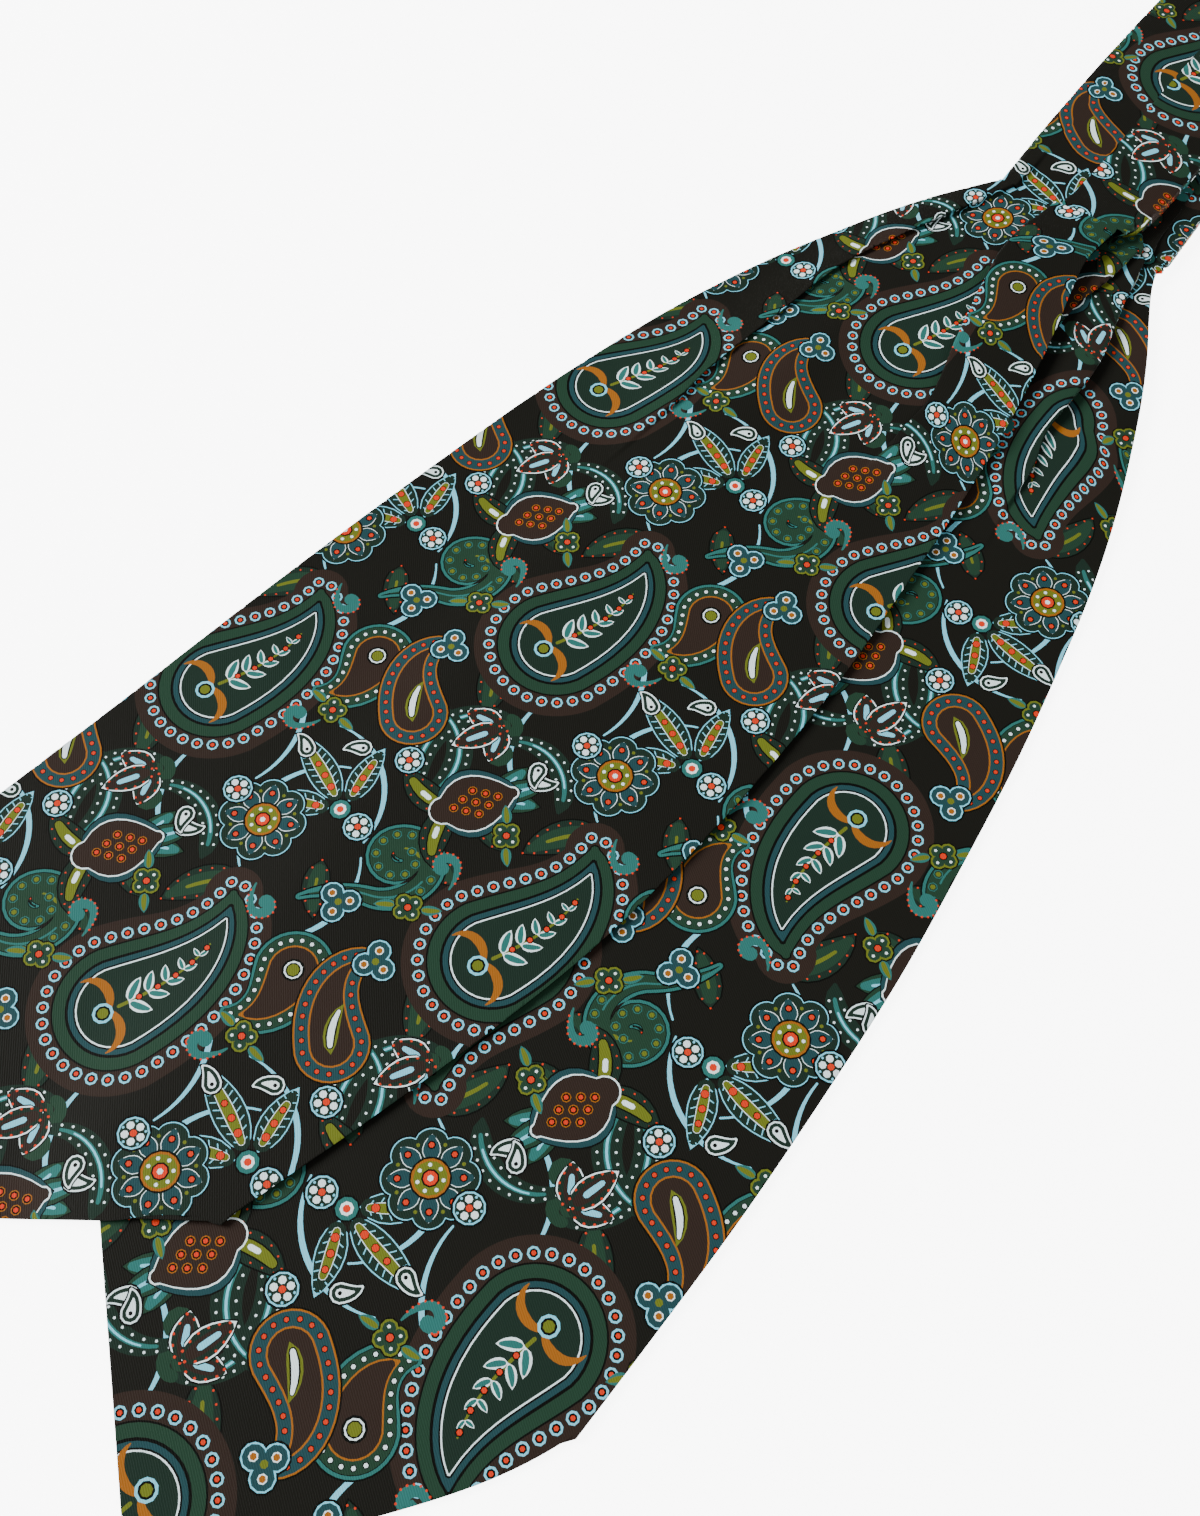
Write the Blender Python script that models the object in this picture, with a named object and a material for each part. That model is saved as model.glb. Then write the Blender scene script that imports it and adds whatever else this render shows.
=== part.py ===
"""A self-tie silk cravat laid on a table: two wide pointed blades, fanned apart, under a pleated neck band.

Each blade is two plies of printed twill, a front and an underside, joined along the edges. The blades are
gathered where the band begins, and the band is folded in half at the centre back, so that its two legs lie
on each other. Lengths are in millimetres. Places on the table are set out from one point of it, and at the
end the whole lay is moved so that its middle is over the origin.
"""

import math

import bpy
import numpy as np

MM = 0.001

# The cloth.
WALL = 1.0
PLY_GAP = 0.3
UNDERSIDE_INSET = 0.8
LINED_BLADE = 2 * WALL + PLY_GAP
FRONT_SILK = (0.05, 0.20, 0.18)
UNDERSIDE_SILK = (0.05, 0.07, 0.06)
BAND_SILK = (0.04, 0.15, 0.14)
FRONT_ROUGHNESS = 0.5
UNDERSIDE_ROUGHNESS = 0.6

# The blades. A blade is set out from its tip, along its axis and across it, the left side counted as plus.
LOWER_TIP = (-111.9, -2.3)
LOWER_ANGLE = math.radians(58.0)
UPPER_TIP = (-198.6, 83.7)
UPPER_ANGLE = math.radians(44.0)
LOWER_POINT_DEPTH, UPPER_POINT_DEPTH = 74.0, 70.0
# The lower blade's right corner is soft: its end is drawn back by this much there, and steeply less inwards.
CORNER_BACK, CORNER_POWER = 9.0, 8

# along, left, right: the outline of each blade past the corners of its point.
LOWER_OUTLINE = (
    (74.0, 72.0, 72.0),
    (110.0, 73.5, 76.6),
    (150.0, 74.0, 81.2),
    (190.0, 74.0, 84.2),
    (230.0, 74.0, 86.2),
    (270.0, 73.0, 86.0),
    (310.0, 70.0, 84.8),
    (345.0, 64.0, 82.2),
    (380.0, 55.0, 78.5),
    (410.0, 45.0, 73.3),
    (435.0, 35.0, 67.4),
    (455.0, 27.0, 61.9),
    (475.0, 19.0, 55.3),
    (490.0, 12.5, 49.6),
    (504.0, 8.5, 45.0),
    (520.0, 8.0, 42.5),
)
UPPER_OUTLINE = (
    (74.0, 71.8, 72.6),
    (110.0, 72.0, 77.6),
    (150.0, 72.4, 82.2),
    (190.0, 73.2, 84.8),
    (230.0, 73.5, 83.7),
    (270.0, 73.2, 80.0),
    (310.0, 72.0, 74.0),
    (345.0, 69.2, 66.4),
    (380.0, 64.4, 58.6),
    (410.0, 58.0, 50.8),
    (435.0, 50.8, 43.0),
    (455.0, 43.6, 36.0),
    (475.0, 34.0, 28.0),
    (487.0, 27.6, 24.0),
    (498.0, 22.0, 23.0),
    (520.0, 15.0, 24.0),
)
GATHER_NEAR = 495.0

# along, across, height: the pleats that run out of the gather. A pleat's edge stands over the ply beside it.
LEFT_TUCK = ((300.0, 32.0, 0.0), (336.0, 33.0, 0.8), (362.0, 36.0, 1.5), (396.0, 36.0, 1.9),
             (432.0, 35.0, 1.8), (454.0, 29.0, 1.3), (490.0, 18.0, 0.6))
MIDDLE_PLEAT = ((370.0, -27.0, 0.0), (389.0, -26.5, 0.8), (402.0, -25.0, 1.8), (428.0, -15.0, 3.0),
                (452.0, -6.0, 3.6), (467.0, -1.0, 3.4), (480.0, 1.0, 2.6), (497.0, 1.0, 1.2))
SHADED_PLEAT = ((395.0, -44.0, 0.0), (411.0, -43.0, 1.2), (425.0, -41.0, 2.8), (433.0, -42.0, 3.6),
                (459.0, -44.0, 3.4), (473.0, -42.5, 2.6), (487.0, -40.5, 1.6), (505.0, -39.0, 0.8))
BAND_PLEAT = ((440.0, -26.0, 0.0), (466.0, -25.5, 0.8), (479.0, -27.0, 1.6), (491.0, -31.0, 2.0),
              (505.0, -34.0, 1.8))
# Half the width over which a pleat's edge rises, and how far behind it each pleat still stands.
PLEAT_EDGE = 1.2
TUCK_REACH, MIDDLE_REACH, SHADED_REACH, BAND_REACH = 26.0, 30.0, 20.0, 18.0
PLEAT_RUN_OUT = 60.0

# The pleated plies inside a blade pile up towards the band, and the cloth over them swells and dips.
PILE_START = 330.0
PILE_HEIGHT = 2.2
RIPPLE = 0.35
SWELL = 0.5
FRONT_LIFT = 0.5
HOLLOW_DEPTH = 0.5
HOLLOW_ALONG, HOLLOW_ACROSS = 358.0, -5.0
HOLLOW_LENGTH, HOLLOW_WIDTH = 34.0, 13.0

# The right edge of each front rolls down over this width, by this share of what the folds add.
LOWER_ROLL_WIDTH, LOWER_ROLL_SHARE = 4.0, 0.55
UPPER_ROLL_WIDTH, UPPER_ROLL_SHARE = 5.0, 0.6

# The edge of the upper blade's front is drawn back here, and shows the underside ply.
BOW_DEPTH = 2.6
BOW_FROM, BOW_TO = 0.86, 0.99
BOW_RISE, BOW_FALL = 0.06, 0.05

# The band: two legs, each a stack of pleats, from the gather to the fold at the centre back.
BAND_ANGLE = math.radians(54.0)
BAND_LEFT = (143.4, 444.5)
BAND_LENGTH = 152.0
PLEATS_IN_LEG = 4
LOBE_DEPTH = 0.45
LEG_HEIGHT = LINED_BLADE + PILE_HEIGHT
# along, left, right: the edges of each leg, measured from BAND_LEFT with the right side counted as plus.
UPPER_LEG = ((0.0, 0.0, 49.0), (10.0, 0.0, 51.8), (38.0, 0.0, 54.5), (90.0, 1.0, 56.0), (152.0, 4.0, 60.0))
LOWER_LEG = ((0.0, 13.0, 66.0), (31.0, 12.0, 65.8), (90.0, 8.0, 63.5), (152.0, 4.0, 60.0))
LEG_ROWS = 16
LEG_COLUMNS = 22
CROWN = 0.9
FOLD_TURNS = 14
FOLD_CORE = 0.12

# The upper blade drapes down to the table past the edge of the lower one.
DRAPE_START = 7.0
DRAPE_SLOPE = 3.2
PROBE_REACH = 4.5
REST_GAP = 0.15

# The nets of the blades. The columns at a pleat are this share of the width apart.
BLADE_ROWS = 44
UNDERSIDE_ROWS = 24
UNDERSIDE_COLUMNS = 15
CORNER_COLUMNS = (0.955, 0.98)
ROW_CROWDING = 1.25
FOLD_CELL = 0.014


def smooth_step(value):
    """0 below 0, 1 above 1 and an even rise between."""
    t = np.clip(value, 0.0, 1.0)
    return t * t * (3.0 - 2.0 * t)


def column_of(table, at, column):
    """The value of a table's column, on a smooth curve through its rows."""
    rows = np.array(table)
    x, y = rows[:, 0], rows[:, column]
    slope = np.gradient(y, x)
    at = np.clip(at, x[0], x[-1])
    cell = np.clip(np.searchsorted(x, at) - 1, 0, len(x) - 2)
    width = x[cell + 1] - x[cell]
    t = (at - x[cell]) / width
    start = (1 + 2 * t) * (1 - t) ** 2 * y[cell] + t * (1 - t) ** 2 * width * slope[cell]
    end = t * t * (3 - 2 * t) * y[cell + 1] + t * t * (t - 1) * width * slope[cell + 1]
    return start + end


class Blade:
    """One blade's setting out: its tip, axis, outline and the line where it joins the band."""

    def __init__(self, tip, angle, outline, pleats, depth, corner_back):
        self.tip = np.array(tip)
        self.axis = np.array((math.cos(angle), math.sin(angle)))
        self.side = np.array((-math.sin(angle), math.cos(angle)))
        self.outline = outline
        self.pleats = pleats
        self.depth = depth
        self.corner_back = corner_back

    def place(self, along, across):
        """Table positions of points given along and across the blade."""
        return self.tip + along[..., None] * self.axis + across[..., None] * self.side

    def measure(self, points):
        """How far along and across the blade the table positions lie."""
        off = points - self.tip
        return off @ self.axis, off @ self.side

    def edges(self, along):
        return column_of(self.outline, along, 1), column_of(self.outline, along, 2)

    def across_at(self, along, v, inset):
        """How far across the blade the place v lies. Its left edge is at 0 and its right edge at 1, and the
        columns between them bend so that one runs down each side of every pleat's edge."""
        left, right = self.edges(along)
        left = left - inset
        width = left + right - inset
        share = np.broadcast_to(v, along.shape).copy()
        known, moved = [np.zeros(along.shape)], [np.zeros(along.shape)]
        for pleat, column in self.pleats:
            line = (left - column_of(pleat, along, 1)) / width
            near = smooth_step((along - pleat[0][0] + PLEAT_RUN_OUT) / PLEAT_RUN_OUT)
            known.append(np.full(along.shape, column))
            moved.append(column + near * (line - column))
        known.append(np.ones(along.shape))
        moved.append(np.ones(along.shape))
        for k in range(len(known) - 1):
            t = (v - known[k]) / (known[k + 1] - known[k])
            inside = (t > 0.0) & (t <= 1.0)
            share = np.where(inside, moved[k] + t * (moved[k + 1] - moved[k]), share)
        return left - share * width

    def neck_line(self, v, inset):
        """How far along the blade the band's end face cuts it, at each place across from 0 to 1."""
        band = np.array((math.cos(BAND_ANGLE), math.sin(BAND_ANGLE)))
        along = np.full(v.shape, GATHER_NEAR)
        for _ in range(8):
            across = self.across_at(along, v, inset)
            off = self.tip + across[..., None] * self.side - np.array(BAND_LEFT)
            along = -(off @ band) / (self.axis @ band)
        return along

    def grid(self, steps, columns, inset=0.0, bow=0.0):
        """along and across of a net: rows run from the pointed end to the band, columns left to right."""
        v = columns[None, :]
        spread = np.abs(2 * v - 1)
        end = self.depth * spread + inset * 1.4
        end = end + self.corner_back * np.maximum(2 * v - 1, 0) ** CORNER_POWER
        hump = smooth_step((v - BOW_FROM) / BOW_RISE) * smooth_step((BOW_TO - v) / BOW_FALL)
        end = end + bow * hump
        along = end + steps[:, None] * (self.neck_line(v, inset) - end)
        return along, self.across_at(along, v, inset)


def pleat_step(along, across, pleat, over, reach):
    """The height that a pleat adds. over is 1 where the raised side is the left one, and -1 for the right."""
    line = column_of(pleat, along, 1)
    height = column_of(pleat, along, 2)
    height = np.where(along < pleat[0][0], 0.0, height)
    off = over * (across - line)
    rise = smooth_step((off + PLEAT_EDGE) / (2 * PLEAT_EDGE))
    fall = 1.0 - 0.75 * smooth_step(off / reach)
    return height * rise * fall


def pile(along):
    """How much thicker the gathered plies make a blade at this place."""
    return PILE_HEIGHT * smooth_step((along - PILE_START) / (GATHER_NEAR - PILE_START))


def lower_top(along, across):
    """Height of the lower blade's upper face."""
    height = LINED_BLADE + pile(along)
    height = height + pleat_step(along, across, SHADED_PLEAT, 1, SHADED_REACH)
    height = height + pleat_step(along, across, BAND_PLEAT, 1, BAND_REACH)
    ripple = RIPPLE * smooth_step((along - 340.0) / 100.0) * np.sin(across / 5.5 + along / 70.0)
    return height + ripple


def upper_folds(along, across):
    """Height that the folds of the upper blade's front stand above its two plain plies."""
    height = pile(along)
    height = height + pleat_step(along, across, LEFT_TUCK, 1, TUCK_REACH)
    height = height + pleat_step(along, across, MIDDLE_PLEAT, -1, MIDDLE_REACH)
    off_along = (along - HOLLOW_ALONG) / HOLLOW_LENGTH
    off_across = (across - HOLLOW_ACROSS) / HOLLOW_WIDTH
    hollow = HOLLOW_DEPTH * np.exp(-(off_along**2) - off_across**2)
    swell = SWELL * smooth_step((along - 300.0) / 90.0) * (1 + np.sin(across / 8.0 - along / 55.0)) / 2
    return height - hollow + swell + FRONT_LIFT * smooth_step((along - 280.0) / 60.0)


def rest_height(blade, points):
    """Height of the surface that the upper blade lies on: the lower blade, or the table beside it."""
    highest = np.zeros(points.shape[:-1])
    probes = [(0.0, 0.0)]
    for ring in (0.5, 1.0):
        for turn in range(8):
            angle = math.pi * turn / 4
            probes.append((PROBE_REACH * ring * math.cos(angle), PROBE_REACH * ring * math.sin(angle)))
    for probe in probes:
        along, across = blade.measure(points + np.array(probe))
        top = lower_top(along, across) + PLY_GAP
        left, _ = blade.edges(along)
        beyond_side = across - left
        beyond_end = LOWER_POINT_DEPTH * np.abs(across) / LOWER_OUTLINE[0][1] - along
        outside = np.maximum(beyond_side, beyond_end * 0.7)
        reach = DRAPE_SLOPE * top
        highest = np.maximum(highest, top * (1.0 - smooth_step((outside - DRAPE_START) / reach)))
    return highest


def make_object(name, vertices, faces, colour, roughness):
    mesh = bpy.data.meshes.new(name)
    mesh.from_pydata((np.asarray(vertices) * MM).tolist(), [], faces)
    mesh.validate()
    material = bpy.data.materials.new(name)
    material.use_nodes = True
    shader = material.node_tree.nodes["Principled BSDF"]
    shader.inputs["Base Color"].default_value = (*colour, 1.0)
    shader.inputs["Roughness"].default_value = roughness
    shader.inputs["Metallic"].default_value = 0.0
    mesh.materials.append(material)
    mesh.shade_smooth()
    mesh.set_sharp_from_angle(angle=math.radians(40))
    piece = bpy.data.objects.new(name, mesh)
    bpy.context.scene.collection.objects.link(piece)
    return piece


def slab(name, plan, low, high, colour, roughness):
    """One closed wall between two nets of heights over the same plan."""
    rows, columns = low.shape
    bottom = np.dstack((plan, low)).reshape(-1, 3)
    top = np.dstack((plan, high)).reshape(-1, 3)
    count = rows * columns
    faces = []
    for r in range(rows - 1):
        for c in range(columns - 1):
            a, b = r * columns + c, r * columns + c + 1
            d, e = a + columns, b + columns
            faces.append((a, d, e, b))
            faces.append((count + a, count + b, count + e, count + d))
    rim = [c for c in range(columns)]
    rim += [r * columns + columns - 1 for r in range(1, rows)]
    rim += [(rows - 1) * columns + c for c in range(columns - 2, -1, -1)]
    rim += [r * columns for r in range(rows - 2, 0, -1)]
    for here, after in zip(rim, rim[1:] + rim[:1]):
        faces.append((here, after, count + after, count + here))
    return make_object(name, np.vstack((bottom, top)), faces, colour, roughness)


def row_steps(count):
    """Row places from 0 to 1, closer together towards the band."""
    return 1.0 - (1.0 - np.linspace(0.0, 1.0, count)) ** ROW_CROWDING


def columns_round(folds, cells):
    """Column places from 0 to 1 with a narrow cell at each fold, given as fractions of the width."""
    places = [0.0]
    stops = list(folds) + [None]
    for fold, number in zip(stops, cells):
        end = 1.0 if fold is None else fold - FOLD_CELL
        places += list(np.linspace(places[-1], end, number + 1)[1:])
        if fold is not None:
            places += [fold, fold + FOLD_CELL]
    return np.array(places)


def lower_blade(blade):
    steps = row_steps(UNDERSIDE_ROWS)
    columns = np.union1d(np.linspace(0.0, 1.0, UNDERSIDE_COLUMNS), CORNER_COLUMNS)
    along, across = blade.grid(steps, columns, UNDERSIDE_INSET)
    flat = np.zeros(along.shape)
    slab("lower_blade_underside", blade.place(along, across), flat, flat + WALL, UNDERSIDE_SILK,
         UNDERSIDE_ROUGHNESS)
    steps = row_steps(BLADE_ROWS)
    columns = columns_round([column for _, column in blade.pleats], (9, 5, 6))
    along, across = blade.grid(steps, columns)
    top = lower_top(along, across)
    _, right = blade.edges(along)
    roll = np.clip(1.0 - (across + right) / LOWER_ROLL_WIDTH, 0.0, 1.0)
    top = top - (top - LINED_BLADE) * LOWER_ROLL_SHARE * roll**2
    slab("lower_blade_front", blade.place(along, across), np.full(along.shape, WALL + PLY_GAP), top,
         FRONT_SILK, FRONT_ROUGHNESS)


def upper_blade(blade, lower):
    steps = row_steps(BLADE_ROWS)
    columns = columns_round([column for _, column in blade.pleats], (6, 10, 8))
    along, across = blade.grid(steps, columns, UNDERSIDE_INSET)
    plan = blade.place(along, across)
    rest = rest_height(lower, plan)
    slab("upper_blade_underside", plan, rest, rest + WALL, UNDERSIDE_SILK, UNDERSIDE_ROUGHNESS)
    along, across = blade.grid(steps, columns, 0.0, BOW_DEPTH)
    plan = blade.place(along, across)
    rest = rest_height(lower, plan) + REST_GAP
    top = rest + LINED_BLADE + upper_folds(along, across)
    _, right = blade.edges(along)
    roll = np.clip(1.0 - (across + right) / UPPER_ROLL_WIDTH, 0.0, 1.0)
    top = top - (top - rest - LINED_BLADE) * UPPER_ROLL_SHARE * roll**2
    slab("upper_blade_front", plan, rest + WALL + PLY_GAP, top, FRONT_SILK, FRONT_ROUGHNESS)


def leg_section(left, right, low, high):
    """Points round one leg of the band: a crowned top, a flat underside and a lobe at each edge per pleat."""
    points = []
    layer = (high - low) / PLEATS_IN_LEG
    for k in range(PLEATS_IN_LEG * 3 + 1):
        turn = abs(math.sin(math.pi * k / 3))
        points.append((right - LOBE_DEPTH + LOBE_DEPTH * turn, low + layer * k / 3))
    for k in range(1, LEG_COLUMNS):
        t = k / LEG_COLUMNS
        points.append((right + (left - right) * t, high + CROWN * math.sin(math.pi * t) ** 0.6))
    for k in range(PLEATS_IN_LEG * 3, -1, -1):
        turn = abs(math.sin(math.pi * k / 3))
        points.append((left + LOBE_DEPTH - LOBE_DEPTH * turn, low + layer * k / 3))
    return points


def band_leg(name, edges, low, high):
    """One leg of the band: its sections joined from the gather to the fold."""
    axis = np.array((math.cos(BAND_ANGLE), math.sin(BAND_ANGLE)))
    across = np.array((math.sin(BAND_ANGLE), -math.cos(BAND_ANGLE)))
    vertices = []
    for along in np.linspace(PLY_GAP, BAND_LENGTH - PLY_GAP, LEG_ROWS):
        left = float(column_of(edges, along, 1))
        right = float(column_of(edges, along, 2))
        for offset, height in leg_section(left, right, low, high):
            spot = np.array(BAND_LEFT) + axis * along + across * offset
            vertices.append((*spot, height))
    ring = len(vertices) // LEG_ROWS
    faces = [tuple(range(ring))]
    faces.append(tuple(reversed(range((LEG_ROWS - 1) * ring, LEG_ROWS * ring))))
    for r in range(LEG_ROWS - 1):
        for k in range(ring):
            a, b = r * ring + k, r * ring + (k + 1) % ring
            faces.append((a, a + ring, b + ring, b))
    return make_object(name, vertices, faces, BAND_SILK, FRONT_ROUGHNESS)


def band_fold(name, top):
    """The rounded turn at the centre back, where the upper leg runs over into the lower one."""
    axis = np.array((math.cos(BAND_ANGLE), math.sin(BAND_ANGLE)))
    across = np.array((math.sin(BAND_ANGLE), -math.cos(BAND_ANGLE)))
    half = top / 2
    layer = half / PLEATS_IN_LEG
    turns = FOLD_TURNS
    widths = []
    for k in range(PLEATS_IN_LEG * 3 + 1):
        widths.append(LOBE_DEPTH * (1 - abs(math.sin(math.pi * k / 3))))
    left, right = UPPER_LEG[-1][1], UPPER_LEG[-1][2]
    vertices = []
    for j, side in enumerate((left, right)):
        for k, lobe in enumerate(widths):
            radius = max(half - layer * k / 3, FOLD_CORE)
            offset = side + lobe if j == 0 else side - lobe
            for i in range(turns + 1):
                angle = -math.pi / 2 + math.pi * i / turns
                spot = np.array(BAND_LEFT) + axis * (BAND_LENGTH + radius * math.cos(angle)) + across * offset
                vertices.append((*spot, half + radius * math.sin(angle)))
    ring = turns + 1
    layers = len(widths)
    side_count = ring * layers
    faces = []
    for i in range(turns):
        for k in range(layers - 1):
            a = k * ring + i
            faces.append((a, a + ring, a + ring + 1, a + 1))
            b = side_count + a
            faces.append((b, b + 1, b + ring + 1, b + ring))
        faces.append((i, i + 1, side_count + i + 1, side_count + i))
        a = (layers - 1) * ring + i
        faces.append((a, side_count + a, side_count + a + 1, a + 1))
    for k in range(layers - 1):
        a, b = k * ring, (k + 1) * ring
        faces.append((a, side_count + a, side_count + b, b))
        a, b = a + turns, b + turns
        faces.append((a, b, side_count + b, side_count + a))
    return make_object(name, vertices, faces, BAND_SILK, FRONT_ROUGHNESS)


def centre_on_origin(pieces):
    """Moves the whole lay so that the middle of its box is over the origin."""
    corners = np.array([vertex.co for piece in pieces for vertex in piece.data.vertices])
    middle = (corners.min(axis=0) + corners.max(axis=0)) / 2
    for piece in pieces:
        for vertex in piece.data.vertices:
            vertex.co.x -= middle[0]
            vertex.co.y -= middle[1]
    print("lay centre in mm:", middle[:2] / MM)


for old in list(bpy.data.objects):
    bpy.data.objects.remove(old)

lower = Blade(LOWER_TIP, LOWER_ANGLE, LOWER_OUTLINE, ((BAND_PLEAT, 0.60), (SHADED_PLEAT, 0.78)),
              LOWER_POINT_DEPTH, CORNER_BACK)
upper = Blade(UPPER_TIP, UPPER_ANGLE, UPPER_OUTLINE, ((LEFT_TUCK, 0.24), (MIDDLE_PLEAT, 0.68)),
              UPPER_POINT_DEPTH, 0.0)
lower_blade(lower)
upper_blade(upper, lower)
upper_leg_low = LEG_HEIGHT + CROWN + PLY_GAP
band_leg("lower_neck_band", LOWER_LEG, 0.0, LEG_HEIGHT)
band_leg("upper_neck_band", UPPER_LEG, upper_leg_low, upper_leg_low + LEG_HEIGHT)
band_fold("neck_band_fold", upper_leg_low + LEG_HEIGHT)
centre_on_origin([piece for piece in bpy.data.objects if piece.type == "MESH"])
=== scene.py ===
import math

import bpy
import numpy as np
from mathutils import Matrix, Vector
from mathutils.geometry import delaunay_2d_cdt


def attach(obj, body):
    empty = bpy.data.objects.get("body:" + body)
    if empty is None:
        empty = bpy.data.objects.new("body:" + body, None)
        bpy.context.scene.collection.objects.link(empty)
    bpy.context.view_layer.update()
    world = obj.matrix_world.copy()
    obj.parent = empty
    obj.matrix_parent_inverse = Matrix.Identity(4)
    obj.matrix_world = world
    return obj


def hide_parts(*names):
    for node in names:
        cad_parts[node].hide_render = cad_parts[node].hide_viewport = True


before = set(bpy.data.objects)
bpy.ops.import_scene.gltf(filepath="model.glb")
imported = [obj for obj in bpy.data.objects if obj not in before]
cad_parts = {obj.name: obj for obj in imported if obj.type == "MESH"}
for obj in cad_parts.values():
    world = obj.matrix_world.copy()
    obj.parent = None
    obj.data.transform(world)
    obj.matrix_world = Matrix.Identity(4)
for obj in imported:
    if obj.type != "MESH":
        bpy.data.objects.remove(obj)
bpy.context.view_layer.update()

# All sizes are millimetres on the table, set out from one point of it that LAY_CENTRE brings over the origin.
MM = 0.001
LAY_CENTRE = np.array((42.839, 283.815))


# The pale table top that the cravat is laid out on, and the soft light of a photographer's tent above it.
# They are only there to show the cravat.
FLOOR_SIZE = 6.0
FLOOR_COLOUR = (0.9, 0.9, 0.9)
# The table top is lit through from below, so that it shows nearly white round the dark silk.
FLOOR_GLOW = 7.2

bpy.ops.mesh.primitive_plane_add(size=FLOOR_SIZE, location=(0, 0, 0))
floor = bpy.context.object
floor.name = "table_top"
floor.data.transform(floor.matrix_world)
floor.matrix_world.identity()
floor.data.transform(Matrix.Translation((0, 0, -0.0003)))
floor_material = bpy.data.materials.new("table_top")
floor_material.use_nodes = True
floor_shader = floor_material.node_tree.nodes["Principled BSDF"]
floor_shader.inputs["Base Color"].default_value = (*FLOOR_COLOUR, 1)
floor_shader.inputs["Roughness"].default_value = 0.8
floor_shader.inputs["Specular IOR Level"].default_value = 0.0
floor_shader.inputs["Emission Color"].default_value = (1, 1, 1, 1)
floor_shader.inputs["Emission Strength"].default_value = FLOOR_GLOW
floor.data.materials.append(floor_material)


def soft_light(name, place, aim, size, power):
    lamp = bpy.data.lights.new(name, "AREA")
    lamp.shape = "RECTANGLE"
    lamp.size, lamp.size_y = size
    lamp.energy = power
    holder = bpy.data.objects.new(name, lamp)
    holder.location = place
    holder.rotation_euler = (Vector(aim) - Vector(place)).to_track_quat("-Z", "Y").to_euler()
    bpy.context.scene.collection.objects.link(holder)


soft_light("tent_left", (-2.6, 0.5, 2.1), (0, 0, 0), (1.6, 1.6), 266)
soft_light("tent_right", (0.9, -1.0, 1.5), (0, 0, 0), (1.2, 1.2), 14.5)
world = bpy.data.worlds.new("tent")
world.use_nodes = True
world.node_tree.nodes["Background"].inputs["Color"].default_value = (1, 1, 1, 1)
world.node_tree.nodes["Background"].inputs["Strength"].default_value = 0.3
bpy.context.scene.world = world

# The camera stands over the lay's setting-out point and looks up the lay, 27 degrees off straight down.
camera_data = bpy.data.cameras.new("photo_camera")
camera_data.lens = 48
camera_data.sensor_width = 36
camera_data.sensor_fit = "HORIZONTAL"
camera = bpy.data.objects.new("photo_camera", camera_data)
camera.location = (-LAY_CENTRE[0] * MM, -LAY_CENTRE[1] * MM, 0.4264227)
camera.rotation_euler = (math.radians(27), 0, 0)
bpy.context.scene.collection.objects.link(camera)
bpy.context.scene.camera = camera


# The front of the lower blade: the printed ply that shows of the blade on the right. It is one layer of silk
# twill on a soft lining, turned in along its edges, and drawn into pleats where the neck band takes it.
WALL = 1.0
PLY_GAP = 0.3
LINED_BLADE = 2 * WALL + PLY_GAP
# The silk's shell is this thick, with its turned edges.
SHELL = 0.4
LOWER_POINT_DEPTH = 74.0
# The right corner is soft: the end is drawn back by this much there, and steeply less inwards.
CORNER_BACK, CORNER_POWER = 9.0, 8
LOWER_TIP, LOWER_ANGLE = (-111.9, -2.3), math.radians(58)
# along, left, right: the outline past the corners of the point.
LOWER_OUTLINE = (
    (74, 72, 72), (110, 73.5, 76.6), (150, 74, 81.2), (190, 74, 84.2), (230, 74, 86.2), (270, 73, 86),
    (310, 70, 84.8), (345, 64, 82.2), (380, 55, 78.5), (410, 45, 73.3), (435, 35, 67.4), (455, 27, 61.9),
    (475, 19, 55.3), (490, 12.5, 49.6), (504, 8.5, 45), (520, 8, 42.5),
)
# along, across, strength: where each pleat's edge runs, and how far it is folded over, from 0 to 1.
SHADED_PLEAT = (
    (352, -46, 0), (385, -44, 0.12), (411, -43, 0.45), (425, -41, 0.8), (433, -42, 1), (459, -44, 1),
    (473, -42.5, 0.9), (487, -40.5, 0.7), (505, -39, 0.5), (530, -37, 0.4),
)
BAND_PLEAT = ((430, -26, 0), (466, -25.5, 0.4), (479, -27, 0.7), (491, -31, 0.9), (505, -34, 0.9),
              (530, -38, 0.8))
# A pleat takes up FOLD_LEAST of cloth where it begins and FOLD_MORE more at strength 1. Its cloth turns by
# FOLD_TURN, over the share FOLD_BEND of its width at each end.
FOLD_LEAST, FOLD_MORE = 1.8, 8.7
FOLD_TURN, FOLD_BEND = math.radians(169), 0.22
BAND_ANGLE = math.radians(54)
BAND_LEFT = np.array((143.4, 444.5))
PILE_START, PILE_HEIGHT = 330.0, 2.2
GATHER_NEAR = 495.0
EDGE_ROUND = 1.1
# How far apart the points of a ply's net lie on its printed face and on its inner face.
FACE_NET, INNER_NET = 6.5, 6.0
# Outlines of the print have steps up to OUTLINE_STEP long, and shorter ones in the folds and along the edges.
OUTLINE_STEP, FOLD_STEP, EDGE_STEP = 5.0, 1.1, 1.0


def smooth_step(value):
    t = np.clip(value, 0.0, 1.0)
    return t * t * (3.0 - 2.0 * t)


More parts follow.
